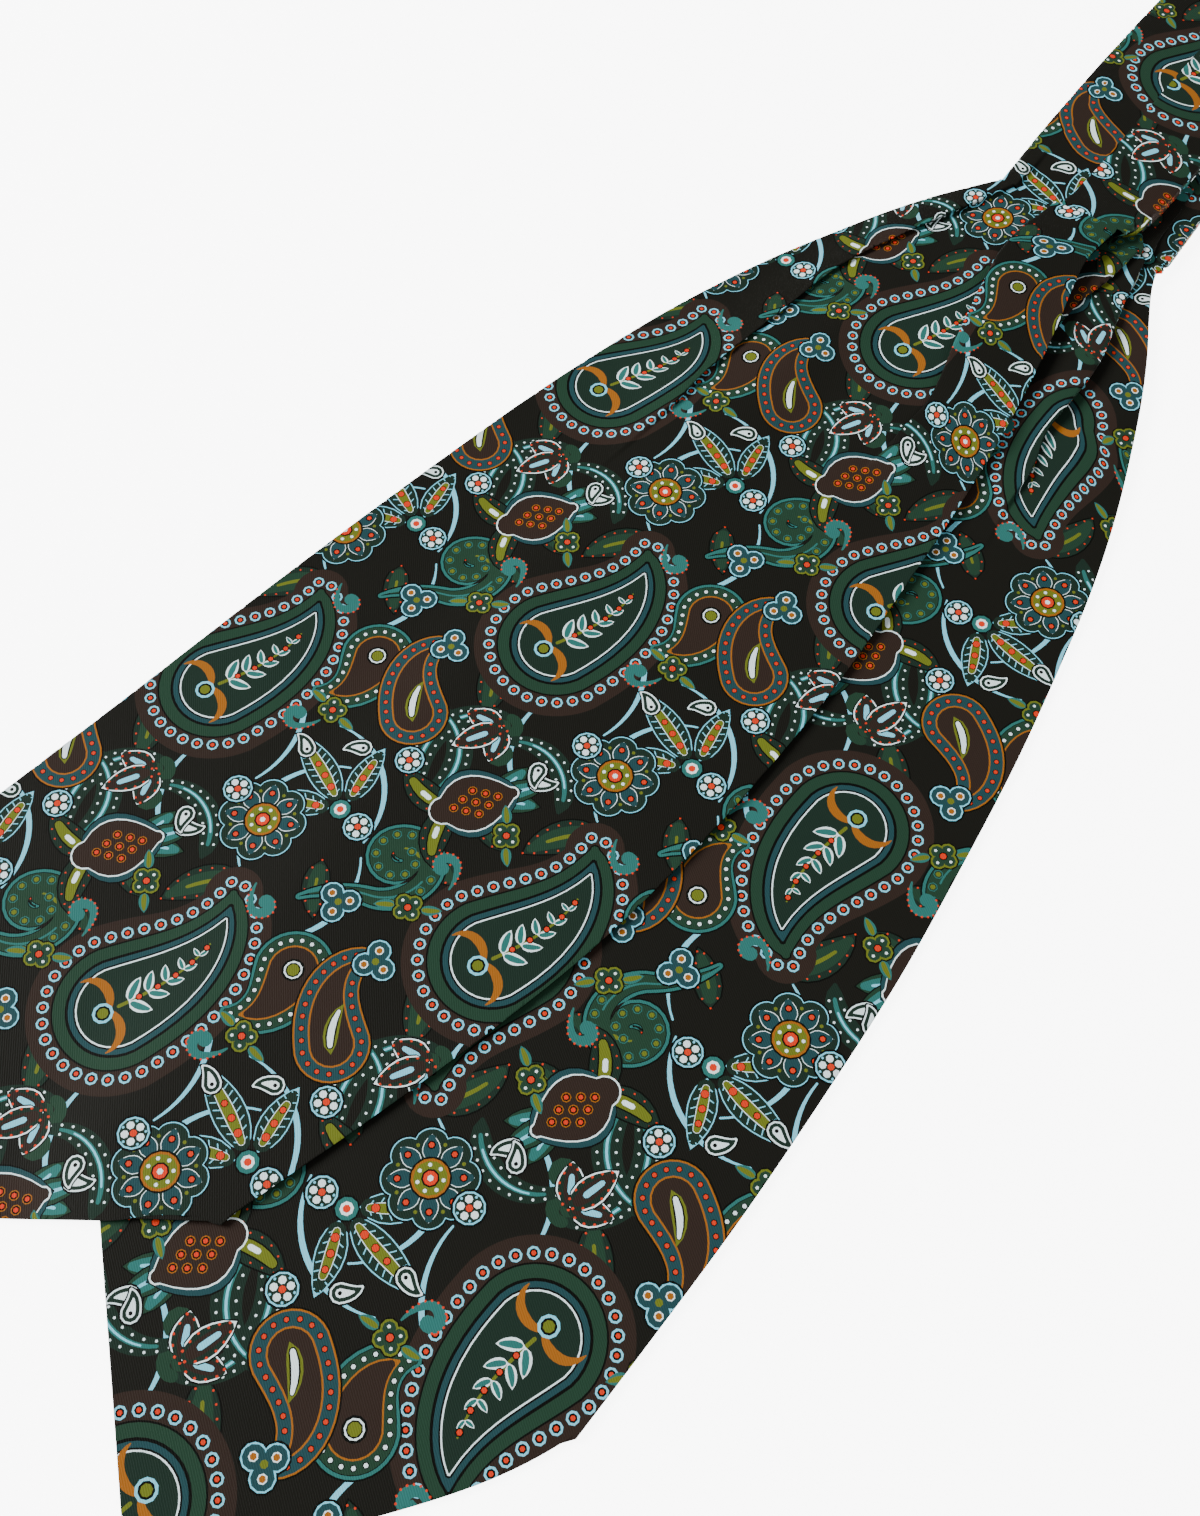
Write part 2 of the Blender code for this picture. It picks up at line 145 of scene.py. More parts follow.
def column_of(table, at, column):
    """The value of a table's column, on a smooth curve through its rows."""
    rows = np.array(table, float)
    x, y = rows[:, 0], rows[:, column]
    slope = np.gradient(y, x)
    at = np.clip(at, x[0], x[-1])
    cell = np.clip(np.searchsorted(x, at) - 1, 0, len(x) - 2)
    width = x[cell + 1] - x[cell]
    t = (at - x[cell]) / width
    start = (1 + 2 * t) * (1 - t) ** 2 * y[cell] + t * (1 - t) ** 2 * width * slope[cell]
    end = t * t * (3 - 2 * t) * y[cell + 1] + t * t * (t - 1) * width * slope[cell + 1]
    return start + end


def fold_section(strength, samples=61):
    """One pleat's section for each strength: cloth length, how far the cloth has gone sideways and down."""
    strength = np.asarray(strength, float)[:, None]
    cloth = (FOLD_LEAST + FOLD_MORE * strength**2) * np.ones((1, samples))
    place = np.linspace(0, 1, samples)[None, :]
    turn = FOLD_TURN * smooth_step(strength / 0.55) * smooth_step(place / FOLD_BEND)
    turn = turn * smooth_step((1 - place) / FOLD_BEND)
    step = cloth[:, :1] / (samples - 1)
    gone = np.cumsum(np.cos(turn), axis=1) * step
    down = np.cumsum(np.sin(turn), axis=1) * step
    gone = np.hstack((np.zeros_like(step), gone[:, :-1]))
    down = np.hstack((np.zeros_like(step), down[:, :-1]))
    return cloth[:, 0], gone, down


class Blade:
    """A blade's cloth: p runs along it from the tip and q across it, both measured on the cloth."""

    P_STEP, Q_STEP, Q_REACH = 1.0, 0.25, 130.0

    def __init__(self, tip, angle, outline, pleats, depth, corner_back):
        self.tip = np.array(tip)
        self.depth, self.corner_back = depth, corner_back
        self.axis = np.array((math.cos(angle), math.sin(angle)))
        self.side = np.array((-math.sin(angle), math.cos(angle)))
        self.outline = outline
        self.p = np.arange(-8.0, 534.0, self.P_STEP)
        self.q = np.arange(-self.Q_REACH, self.Q_REACH + 0.1, self.Q_STEP)
        self.across = np.tile(self.q, (len(self.p), 1))
        self.fold = np.zeros(self.across.shape)
        self.zones = []
        for table, over, anchored_low, reach in pleats:
            self.add_pleat(table, over, anchored_low, reach)

    def add_pleat(self, table, over, anchored_low, reach):
        """Folds the cloth over along a line. over is 1 where the left side lies on top, -1 for the right."""
        edge = column_of(table, self.p, 1) * over
        strength = np.clip(column_of(table, self.p, 2), 0, 1) * (self.p >= table[0][0])
        cloth, gone, down = fold_section(strength)
        reached, drop = gone.max(axis=1), down[:, -1]
        for i in range(len(self.p)):
            if strength[i] <= 0.004:
                continue
            old = self.across[i] * over
            order = slice(None) if over > 0 else slice(None, None, -1)
            cloth_at = (self.q * over)[order]
            now = old[order]
            cloth_steps = np.linspace(0, cloth[i], gone.shape[1])
            if anchored_low:
                low_end = edge[i] + reached[i] - gone[i, -1]
                start = float(np.interp(low_end, now, cloth_at))
                top = start + cloth[i]
                shifted = np.interp(cloth_at - cloth[i] + gone[i, -1], cloth_at, now)
                inner = edge[i] + reached[i] - np.interp(top - cloth_at, cloth_steps, gone[i])
                result = np.where(cloth_at <= start, now, np.where(cloth_at >= top, shifted, inner))
            else:
                top = float(np.interp(edge[i] + reached[i], now, cloth_at))
                start = top - cloth[i]
                shifted = np.interp(cloth_at + cloth[i] - gone[i, -1], cloth_at, now)
                inner = edge[i] + reached[i] - np.interp(top - cloth_at, cloth_steps, gone[i])
                result = np.where(cloth_at >= top, now, np.where(cloth_at <= start, shifted, inner))
            lower_by = np.interp(top - cloth_at, cloth_steps, down[i])
            stand = drop[i] * (1 - smooth_step((cloth_at - top) / reach))
            stand = np.where(cloth_at > top, stand, drop[i] - lower_by)
            self.across[i] = (result * over)[order]
            self.fold[i] += stand[order]
            self.zones.append((self.p[i], start * over, top * over))

    def place(self, along, across):
        return self.tip + along[..., None] * self.axis + across[..., None] * self.side

    def measure(self, points):
        off = points - self.tip
        return off @ self.axis, off @ self.side

    def edges(self, along):
        return column_of(self.outline, along, 1), column_of(self.outline, along, 2)

    def neck_along(self, across):
        """How far along the blade the band's end cuts it, for a place across it."""
        band = np.array((math.cos(BAND_ANGLE), math.sin(BAND_ANGLE)))
        off = self.tip - BAND_LEFT
        return (-(off @ band) - across * (self.side @ band)) / (self.axis @ band)

    def sample(self, grid, p, q):
        """A grid's value at cloth places, in between its rows and columns."""
        i = np.clip((p - self.p[0]) / self.P_STEP, 0, len(self.p) - 1.001)
        j = np.clip((q - self.q[0]) / self.Q_STEP, 0, len(self.q) - 1.001)
        i0, j0 = i.astype(int), j.astype(int)
        a, b = i - i0, j - j0
        if grid.ndim == 3:
            a, b = a[:, None], b[:, None]
        near = grid[i0, j0] * (1 - b) + grid[i0, j0 + 1] * b
        far = grid[i0 + 1, j0] * (1 - b) + grid[i0 + 1, j0 + 1] * b
        return near * (1 - a) + far * a

    def border(self, inset, bow, step=2.0):
        """The cut edge of a ply in cloth places, anticlockwise from the tip, with True at the band."""
        spots = []
        left, right = float(self.outline[0][1]), float(self.outline[0][2])
        for t in np.arange(0, 1, step / 100):
            spots.append((self.end_at(-right * t, bow) + inset * 1.4, -right * t, False))
        neck_right = self.neck_cut(-1, inset)
        neck_left = self.neck_cut(1, inset)
        for p in np.arange(self.depth + self.corner_back + inset, neck_right[0], step):
            spots.append((p, self.edge_cloth(p, -1, inset), False))
        for q in np.arange(neck_right[1], neck_left[1], 0.5):
            p = GATHER_NEAR
            for _ in range(12):
                across = float(self.sample(self.across, np.array([p]), np.array([q]))[0])
                p = self.neck_along(across)
            spots.append((p, q, True))
        for p in np.arange(neck_left[0], self.depth + inset, -step):
            spots.append((p, self.edge_cloth(p, 1, inset), False))
        for t in np.arange(1, 0.0, -step / 100):
            spots.append((self.end_at(left * t, 0) + inset * 1.4, left * t, False))
        return spots

    def end_at(self, across, bow):
        """Where the pointed end's edge lies for a place across it, drawn back by the bow on the right."""
        share = across / self.outline[0][1] if across > 0 else across / self.outline[0][2]
        soft = self.corner_back * max(-share, 0.0) ** CORNER_POWER
        hump = smooth_step((-share - 0.70) / 0.14) * smooth_step((1.0 + share) / 0.1)
        return self.depth * abs(share) + soft + bow * hump

    def edge_cloth(self, p, side, inset):
        """The cloth place of the blade's side edge: side is 1 for the left one and -1 for the right."""
        left, right = self.edges(np.array([p]))
        wanted = (left[0] - inset) if side > 0 else -(right[0] - inset)
        at = np.clip((p - self.p[0]) / self.P_STEP, 0, len(self.p) - 1.001)
        row = self.across[int(at)] * (1 - at % 1) + self.across[int(at) + 1] * (at % 1)
        if side > 0:
            start = np.nonzero(row > wanted)[0][0] - 1
        else:
            start = np.nonzero(row < wanted)[0][-1]
        t = (wanted - row[start]) / (row[start + 1] - row[start])
        return float(self.q[start] + t * self.Q_STEP)

    def neck_cut(self, side, inset):
        """The cloth place where a side edge meets the band."""
        p = GATHER_NEAR
        for _ in range(30):
            left, right = self.edges(np.array([p]))
            across = (left[0] - inset) if side > 0 else -(right[0] - inset)
            p = 0.5 * p + 0.5 * float(self.neck_along(across))
        return p, self.edge_cloth(p, side, inset)


def pile(along):
    """How much thicker the pleated plies make a blade towards the band."""
    return PILE_HEIGHT * smooth_step((along - PILE_START) / (GATHER_NEAR - PILE_START))


def normals_of(surface):
    """Unit normals of a grid of points, rows along p, pointing up where the cloth lies face up."""
    along = np.gradient(surface, axis=0)
    across = np.gradient(surface, axis=1)
    normal = np.cross(along, across)
    return normal / np.maximum(np.linalg.norm(normal, axis=2, keepdims=True), 1e-9)


def subdivide(points, longest):
    """The closed line through points with no step longer than longest, a length for each step."""
    steps = np.roll(points, -1, axis=0) - points
    counts = np.maximum(1, np.ceil(np.linalg.norm(steps, axis=1) / longest)).astype(int)
    if counts.max() == 1:
        return points
    share = np.concatenate([np.arange(count) / count for count in counts])
    return np.repeat(points, counts, axis=0) + np.repeat(steps, counts, axis=0) * share[:, None]


def triangulate(border, spots, figures=()):
    """Triangles inside the border through the spots, each with the number of the last figure over it."""
    lines = [np.asarray(border)] + [np.asarray(figure) for figure in figures]
    ends = np.cumsum([0] + [len(line) for line in lines])
    faces = [list(range(first, last)) for first, last in zip(ends[:-1], ends[1:])]
    places = [Vector(point) for point in np.vstack(lines + [np.asarray(spots)]).tolist()]
    points, _, triangles, _, _, sources = delaunay_2d_cdt(places, [], faces, 0, 1e-4, True)
    kept, covers = [], []
    for triangle, source in zip(triangles, sources):
        if 0 in source:
            kept.append(triangle)
            covers.append(max(source))
    return np.array([tuple(point) for point in points]), np.array(kept), np.array(covers)


def only_used(plane, triangles):
    """The points that the triangles use, and the triangles numbered to suit."""
    used = np.unique(triangles)
    number = np.full(len(plane), -1)
    number[used] = np.arange(len(used))
    return plane[used], number[triangles]


def border_loop(triangles):
    """The points round the outside of the triangles, in order."""
    ends = np.vstack((triangles[:, [0, 1]], triangles[:, [1, 2]], triangles[:, [2, 0]]))
    known = {(a, b) for a, b in ends.tolist()}
    after = {a: b for a, b in known if (b, a) not in known}
    loop = [next(iter(after))]
    while after[loop[-1]] != loop[0]:
        loop.append(after[loop[-1]])
    return loop


def distance_to(points, line):
    """How far each point is from a line given by its corners."""
    near = np.full(len(points), 1e9)
    for here, after in zip(line[:-1], line[1:]):
        off = after - here
        t = np.clip(((points - here) @ off) / max(off @ off, 1e-12), 0, 1)
        near = np.minimum(near, np.linalg.norm(points - here - t[:, None] * off, axis=1))
    return near


# The print's dyes, in the order of PALETTE.
GROUND, BROWN, DEEP, GREEN, TEAL, BLUE, PALE, WHITE, ORANGE, MUSTARD, LIME, LINE = range(12)
# red, green, blue: how much of each light the dyed silk gives back.
PALETTE = (
    (0.0078, 0.0077, 0.0060), (0.0215, 0.0140, 0.0108), (0.0092, 0.0200, 0.0140), (0.0130, 0.0350, 0.0205),
    (0.0205, 0.1080, 0.0970), (0.0130, 0.0430, 0.0485), (0.1500, 0.4900, 0.6200), (0.6400, 0.7600, 0.7700),
    (0.5200, 0.0300, 0.0085), (0.2400, 0.0810, 0.0090), (0.0990, 0.1180, 0.0125), (0.0030, 0.0034, 0.0026),
)
palette = np.array([(*dye, 1.0) for dye in PALETTE])


def circle(x, y, r):
    n = 5 if r < 0.6 else 6 if r < 1.0 else int(5.5 + 1.7 * r)
    t = np.arange(n) * 2 * math.pi / n + 0.3
    return np.stack((x + r * np.cos(t), y + r * np.sin(t)), axis=1)


def walk(legs, heading=0.0, step=1.6):
    """A path from the origin along (length, turn in degrees) arcs."""
    points, at, angle = [(0.0, 0.0)], np.zeros(2), math.radians(heading)
    for length, bend in legs:
        count = max(2, round(length / step))
        for _ in range(count):
            angle += math.radians(bend) / count / 2
            at = at + np.array((math.cos(angle), math.sin(angle))) * length / count
            angle += math.radians(bend) / count / 2
            points.append(tuple(at))
    return np.array(points)


def tube(spine, radii):
    """The outline of a line of varying half width with round ends."""
    keep = radii > 0.02
    spine, radii = spine[keep], radii[keep]
    ahead = np.gradient(spine, axis=0)
    ahead /= np.linalg.norm(ahead, axis=1, keepdims=True)
    side = np.stack((-ahead[:, 1], ahead[:, 0]), axis=1)
    left = spine + side * radii[:, None]
    right = spine - side * radii[:, None]
    points = [right]
    for end, turn in ((-1, -math.pi / 2), (0, math.pi / 2)):
        r = radii[end]
        if r > 0.25:
            count = int(3 + 1.1 * r)
            base = math.atan2(ahead[end][1], ahead[end][0]) + turn
            angles = base + np.arange(1, count) * math.pi / count
            points.append(spine[end] + r * np.stack((np.cos(angles), np.sin(angles)), axis=1))
        if end == -1:
            points.append(left[::-1])
    return np.vstack(points)


def evenly(outline, spacing, shift=0.0):
    """Places evenly along a closed outline."""
    closed = np.vstack((outline, outline[:1]))
    length = np.concatenate(([0], np.cumsum(np.linalg.norm(np.diff(closed, axis=0), axis=1))))
    count = max(3, round(length[-1] / spacing))
    at = (np.arange(count) + shift) * length[-1] / count
    return np.stack([np.interp(at, length, closed[:, k]) for k in (0, 1)], axis=1)


def along_path(path, spacing, start=0.0, end=1.0):
    length = np.concatenate(([0], np.cumsum(np.linalg.norm(np.diff(path, axis=0), axis=1))))
    span = (end - start) * length[-1]
    at = start * length[-1] + np.arange(0, span + 0.01, span / max(1, round(span / spacing)))
    return np.stack([np.interp(at, length, path[:, k]) for k in (0, 1)], axis=1)


def offset_path(path, distance):
    ahead = np.gradient(path, axis=0)
    ahead /= np.linalg.norm(ahead, axis=1, keepdims=True)
    return path + np.stack((-ahead[:, 1], ahead[:, 0]), axis=1) * distance


def buta(length, radius, curl):
    """The spine and half widths of a paisley: a round head and a tail that bends over."""
    t = np.linspace(0, 1, max(12, int(length / 1.9)))
    angle = np.radians(curl) * t**1.8
    step = length / (len(t) - 1)
    spine = np.stack((np.cumsum(np.cos(angle)), np.cumsum(np.sin(angle))), axis=1) * step
    return spine - spine[0], radius * (1 - t) ** 0.85 * (1 + 0.55 * t)


def inset(spine, radii, depth):
    """The same form drawn in by depth. Its tail ends where the width runs out."""
    keep = radii > depth + 0.05
    return tube(spine[keep], (radii - depth)[keep])


def grown(spine, radii, extra):
    return tube(spine, radii + extra)


def leaf_form(length, width, bend=0.0):
    t = np.linspace(0, 1, max(7, int(length / 2.3)))
    angle = np.radians(bend) * t
    step = length / (len(t) - 1)
    spine = np.stack((np.cumsum(np.cos(angle)), np.cumsum(np.sin(angle))), axis=1) * step
    return spine - spine[0], width / 2 * np.sin(math.pi * t**0.8) ** 0.75 + 0.03


def placed(figures, x, y, angle=0.0, scale=1.0, mirror=False):
    c, s = math.cos(math.radians(angle)) * scale, math.sin(math.radians(angle)) * scale
    turn = np.array(((c, s), (-s, c)))
    out = []
    for colour, points in figures:
        if mirror:
            points = (points * (1, -1))[::-1]
        out.append((colour, points @ turn + (x, y)))
    return out


def great_paisley():
    spine, radii = buta(46, 17, 62)
    out = [(BROWN, grown(spine, radii, 8.6))]
    for x, y in evenly(grown(spine, radii, 4.0), 4.7):
        out += [(PALE, circle(x, y, 1.8)), (LINE, circle(x, y, 1.2)), (ORANGE, circle(x, y, 0.7))]
    out += [(LINE, grown(spine, radii, 1.7)), (GREEN, grown(spine, radii, 1.2))]
    for colour, depth in ((LINE, 2.2), (BLUE, 3.0), (LINE, 4.5), (WHITE, 5.0), (DEEP, 5.45)):
        out.append((colour, inset(spine, radii, depth)))
    stem = spine[: int(len(spine) * 0.7)]
    out.append((LIME, tube(stem, np.linspace(0.55, 0.25, len(stem)))))
    for k, (x, y) in enumerate(along_path(stem, 6.0, 0.1, 0.85)):
        for side in (1, -1):
            drop, width = leaf_form(max(7.6 - 1.2 * k, 3), max(3.4 - 0.5 * k, 1.4), -side * 20)
            angle = side * 58 + 14 * k
            leaf = [(WHITE, tube(drop, width)), (TEAL, tube(drop[1:-1], width[1:-1] * 0.55))]
            out += placed(leaf, x, y, angle)
    for k, (x, y) in enumerate(along_path(stem, 6.0, 0.2, 0.95)):
        out += [(LINE, circle(x, y, 1.15)), (ORANGE, circle(x, y, 0.8))]
    for side in (1, -1):
        crescent = walk(((8, 60 * side), (8, 75 * side)), -side * 115, 1.4)
        width = 1.35 * np.sin(np.linspace(0.25, math.pi - 0.1, len(crescent)))
        out += placed([(MUSTARD, tube(crescent, width))], -3.5, side * -0.6, 180 + side * -20)
    out += [(PALE, circle(-4.6, 0, 3.0)), (LINE, circle(-4.6, 0, 2.2)), (LIME, circle(-4.6, 0, 1.6))]
    return out


def slim_paisley():
    spine, radii = buta(35, 10.5, 118)
    out = [(LINE, grown(spine, radii, 0.5)), (MUSTARD, tube(spine, radii)), (BLUE, inset(spine, radii, 0.5)),
           (MUSTARD, inset(spine, radii, 4.2)), (BROWN, inset(spine, radii, 4.7))]
    band = inset(spine, radii, 2.4)
    for x, y in evenly(band, 3.4):
        out += [(LINE, circle(x, y, 0.95)), (ORANGE, circle(x, y, 0.68))]
    flame, width = leaf_form(15, 4.2, 48)
    out += placed([(LIME, tube(flame, width)), (LINE, tube(flame[1:-1], width[1:-1] * 0.66)),
                   (WHITE, tube(flame[1:-1], width[1:-1] * 0.44))], -2.5, -0.8, -2)
    return out


def round_paisley():
    spine, radii = buta(27, 12, 100)
    out = [(LINE, grown(spine, radii, 0.5)), (TEAL, tube(spine, radii)), (LINE, inset(spine, radii, 0.9)),
           (GREEN, inset(spine, radii, 1.1)), (MUSTARD, inset(spine, radii, 4.4)),
           (BROWN, inset(spine, radii, 4.9))]
    for x, y in evenly(inset(spine, radii, 2.7), 3.3):
        out += [(LINE, circle(x, y, 0.95)), (WHITE, circle(x, y, 0.66))]
    out += [(LINE, circle(0, 0, 3.5)), (WHITE, circle(0, 0, 2.8)), (LINE, circle(0, 0, 2.3)),
            (LIME, circle(0, 0, 1.9))]
    return out


def fern_scroll():
    spine = walk(((20, -40), (17, 70), (22, 150), (17, 190), (8, 150)), 0, 1.5)
    t = np.linspace(0, 1, len(spine))
    radii = 0.6 + 5.6 * np.sin(math.pi * np.clip(t * 0.62 + 0.02, 0, 1)) * (1 - 0.45 * t)
    out = [(LINE, tube(spine, radii + 0.5)), (TEAL, tube(spine, radii)), (LINE, tube(spine, radii - 0.9)),
           (GREEN, tube(spine, radii - 1.15))]
    line = spine - (offset_path(spine, 1) - spine) * (radii * 0.32)[:, None]
    for x, y in along_path(line, 4.3, 0.28, 0.97):
        out += [(TEAL, circle(x, y, 1.45)), (GREEN, circle(x, y, 1.2)), (LIME, circle(x, y, 0.8))]
    vein = offset_path(spine, 1) * 0.45 + spine * 0.55
    out.append((TEAL, tube(vein[: int(len(vein) * 0.45)], np.full(int(len(vein) * 0.45), 0.3))))
    return out


def feather(legs, heading=0.0, size=1.0):
    spine = walk(legs, heading, 2.1)
    t = np.linspace(0, 1, len(spine))
    radii = size * (0.9 + 3.2 * np.sin(math.pi * t**0.7) ** 0.8)
    curl = walk(((7, 130), (5, 150)), 0, 1.2)
    out = [(DEEP, tube(spine, radii))]
    out.append((TEAL, tube(spine[2:-3], (radii * 0.22)[2:-3])))
    out.append((PALE, tube(spine[4:-5], (radii * 0.09)[4:-5])))
    for side in (1, -1):
        edge = spine + (offset_path(spine, side) - spine) * (radii * 0.62)[:, None]
        for x, y in along_path(edge, 3.1, 0.12, 0.92):
            out.append((WHITE, circle(x, y, 0.42)))
    end = spine[-1]
    direction = math.degrees(math.atan2(*(spine[-1] - spine[-2])[::-1]))
    bend = 1 if legs[-1][1] > 0 else -1
    curl_form = [(GREEN, tube(curl, np.linspace(1.5, 2.3, len(curl))))]
    out += placed(curl_form, end[0], end[1], direction, 1.0, bend < 0)
    return out


def ribbed_leaf(length=22.0, width=8.5, bend=14.0, seeds=5):
    spine, radii = leaf_form(length, width, bend)
    out = [(PALE, tube(spine, radii)), (DEEP, tube(spine, radii - 0.35)), ]
    count = int(length / 2.3)
    for k in range(1, count):
        t = k / count
        x, y = (np.interp(t, np.linspace(0, 1, len(spine)), spine[:, i]) for i in (0, 1))
        reach = float(np.interp(t, np.linspace(0, 1, len(spine)), radii))
        for side in (1, -1):
            a = math.radians(bend * t + side * 62)
            along, beside = np.array((math.cos(a), math.sin(a))), np.array((-math.sin(a), math.cos(a))) * 0.16
            near, far = along * (0.45 * reach) + (x, y), along * (0.86 * reach) + (x, y)
            out.append((PALE, np.array((near + beside, near - beside, far - beside, far + beside))))
    core, narrow = spine[1:-2], radii[1:-2] * 0.42
    out += [(WHITE, tube(core, narrow * 0.9)), (LIME, tube(core, narrow * 0.78))]
    for k, (x, y) in enumerate(along_path(core, length / (seeds + 1), 0.14, 0.86)):
        r = 1.15 - 0.6 * k / seeds
        out += [(LINE, circle(x, y, r + 0.22)), (ORANGE, circle(x, y, r))]
    return out


def spray():
    out = []
    for x, y, angle, length, width in ((1.5, 3, 50, 19, 8.2), (1.5, -3, -42, 20, 8.2), (3, 0, 4, 27, 9.4)):
        out += placed(ribbed_leaf(length, width, 12 if angle > 0 else -12), x, y, angle)
    out += [(LINE, circle(0, 0, 3.6)), (TEAL, circle(0, 0, 3.1)), (WHITE, circle(0, 0, 1.9)),
            (ORANGE, circle(0, 0, 1.1))]
    return out


def rosette(radius=14.0, petals=8):
    t = np.linspace(0, 2 * math.pi, 72, endpoint=False)

    def scallop(r, depth):
        rr = r * (1 - depth * (1 - np.abs(np.sin(petals * t / 2)) ** 0.7))
        return np.stack((rr * np.cos(t), rr * np.sin(t)), axis=1)

    out = [(LINE, scallop(radius + 0.6, 0.14)), (PALE, scallop(radius, 0.15))]
    out.append((DEEP, scallop(radius - 0.35, 0.155)))
    form, width = leaf_form(7.6, 5.2, 0)
    for k in range(petals):
        angle = 360 / petals * (k + 0.5)
        petal = [(WHITE, tube(form, width)), (BLUE, tube(form[:-1], width[:-1] - 0.22))]
        petal += [(LINE, circle(4.6, 0, 1.25)), (ORANGE, circle(4.6, 0, 0.85))]
        a = math.radians(angle)
        out += placed(petal, 4.6 * math.cos(a), 4.6 * math.sin(a), angle)
        a = math.radians(angle + 180 / petals)
        out.append((LIME, circle(9.9 * math.cos(a), 9.9 * math.sin(a), 0.6)))
    out += [(LINE, circle(0, 0, 6.0)), (MUSTARD, circle(0, 0, 5.5)), (LIME, circle(0, 0, 4.8))]
    for k in range(7):
        a = 2 * math.pi * k / 7
        out.append((WHITE, circle(3.7 * math.cos(a), 3.7 * math.sin(a), 0.6)))
    out += [(LINE, circle(0, 0, 2.6)), (ORANGE, circle(0, 0, 2.1)), (WHITE, circle(0, 0, 0.9))]
    return out


def pomegranate():
    out = []
    for angle, length, width, bend in ((150, 21, 9, -55), (-150, 21, 9, 55)):
        form, half = leaf_form(length, width, bend)
        leaf = [(LINE, tube(form, half + 0.5)), (DEEP, tube(form, half)),
                (LINE, tube(form[2:-2], half[2:-2] * 0.5)), (LIME, tube(form[2:-2], half[2:-2] * 0.4)),
                (WHITE, tube(form[3:-4], half[3:-4] * 0.18))]
        for x, y in evenly(tube(form, half - 0.9), 3.6):
            leaf.append((ORANGE, circle(x, y, 0.32)))
        out += placed(leaf, -8, 0, angle)
    for angle, length in ((28, 15), (-28, 15), (0, 18)):
        form, half = leaf_form(length, 7.0, 0)
        crown = [(LINE, tube(form, half + 0.4)), (GREEN, tube(form, half)),
                 (TEAL, tube(form[:-1], half[:-1] * 0.66)), (PALE, tube(form[2:-2], half[2:-2] * 0.15))]
        out += placed(crown, 5, 0, angle)
    body, half = leaf_form(27, 23, 0)
    body = body - (13, 0)
    out += [(LINE, tube(body, half + 0.5)), (BLUE, tube(body, half)),
            (WHITE, tube(body[:-1], half[:-1] - 1.8)), (LINE, tube(body[:-1], half[:-1] - 2.3)),
            (BROWN, tube(body[:-1], half[:-1] - 2.5))]
    for row, (x, span) in enumerate(((-7.2, 1), (-3.8, 2), (-0.2, 3), (3.4, 2), (6.8, 1))):
        for k in range(span):
            y = (k - (span - 1) / 2) * 4.1
            out += [(MUSTARD, circle(x, y, 1.5)), (LINE, circle(x, y, 1.2)), (ORANGE, circle(x, y, 0.75))]
    return out


def trefoil():
    out = []
    for extra, colour in ((1.0, LINE), (0.45, PALE), (0.0, BLUE)):
        for k in range(3):
            a = math.radians(120 * k)
            out.append((colour, circle(3.1 * math.cos(a), 3.1 * math.sin(a), 3.0 + extra)))
    for k in range(3):
        a = math.radians(120 * k)
        x, y = 3.3 * math.cos(a), 3.3 * math.sin(a)
        out += [(WHITE, circle(x, y, 1.3)), (MUSTARD, circle(x, y, 0.95))]
    out.append((LIME, circle(0, 0, 1.1)))
    return out


def little_flower():
    form, half = leaf_form(6.4, 3.0, 12)
    out = []
    for angle in (25, 205):
        a = math.radians(angle)
        leaf = [(TEAL, tube(form, half)), (LIME, tube(form[1:-1], half[1:-1] * 0.5))]
        out += placed(leaf, 3.5 * math.cos(a), 3.5 * math.sin(a), angle)
    for extra, colour in ((0.9, LINE), (0.5, LIME), (-0.1, GREEN)):
        for k in range(4):
            a = math.radians(90 * k + 45 + 25)
            out.append((colour, circle(2.2 * math.cos(a), 2.2 * math.sin(a), 1.9 + extra)))
    for k in range(4):
        a = math.radians(90 * k + 45 + 25)
        out.append((WHITE, circle(2.7 * math.cos(a), 2.7 * math.sin(a), 0.5)))
    out += [(LINE, circle(0, 0, 1.35)), (ORANGE, circle(0, 0, 1.0))]
    return out


def comma_curl():
    spine = walk(((7, 35), (6, 110), (4, 130)), 0, 1.1)
    radii = np.linspace(0.25, 2.3, len(spine)) ** 0.9
    out = [(TEAL, tube(spine, radii))]
    edge = offset_path(spine, -1) * 1.0
    edge = spine + (edge - spine) * radii[:, None]
    for x, y in along_path(edge, 1.7, 0.1, 0.9):
        out.append((ORANGE, circle(x, y, 0.36)))
    return out


def drop():
    spine, radii = buta(6.5, 2.7, 50)
    return [(LINE, grown(spine, radii, 0.5)), (WHITE, tube(spine, radii)), (DEEP, inset(spine, radii, 0.5)),
            (WHITE, inset(spine, radii, 1.5)), (LINE, circle(0, 0, 0.6))]


def medallion():
    out = [(LINE, circle(0, 0, 5.0)), (PALE, circle(0, 0, 4.4)), (DEEP, circle(0, 0, 3.9))]
    for k in range(5):
        a = math.radians(72 * k)
        out += [(WHITE, circle(2.3 * math.cos(a), 2.3 * math.sin(a), 1.1)),
                (PALE, circle(3.3 * math.cos(a + 0.63), 3.3 * math.sin(a + 0.63), 0.4))]
    out += [(ORANGE, circle(0, 0, 1.0))]
    return out


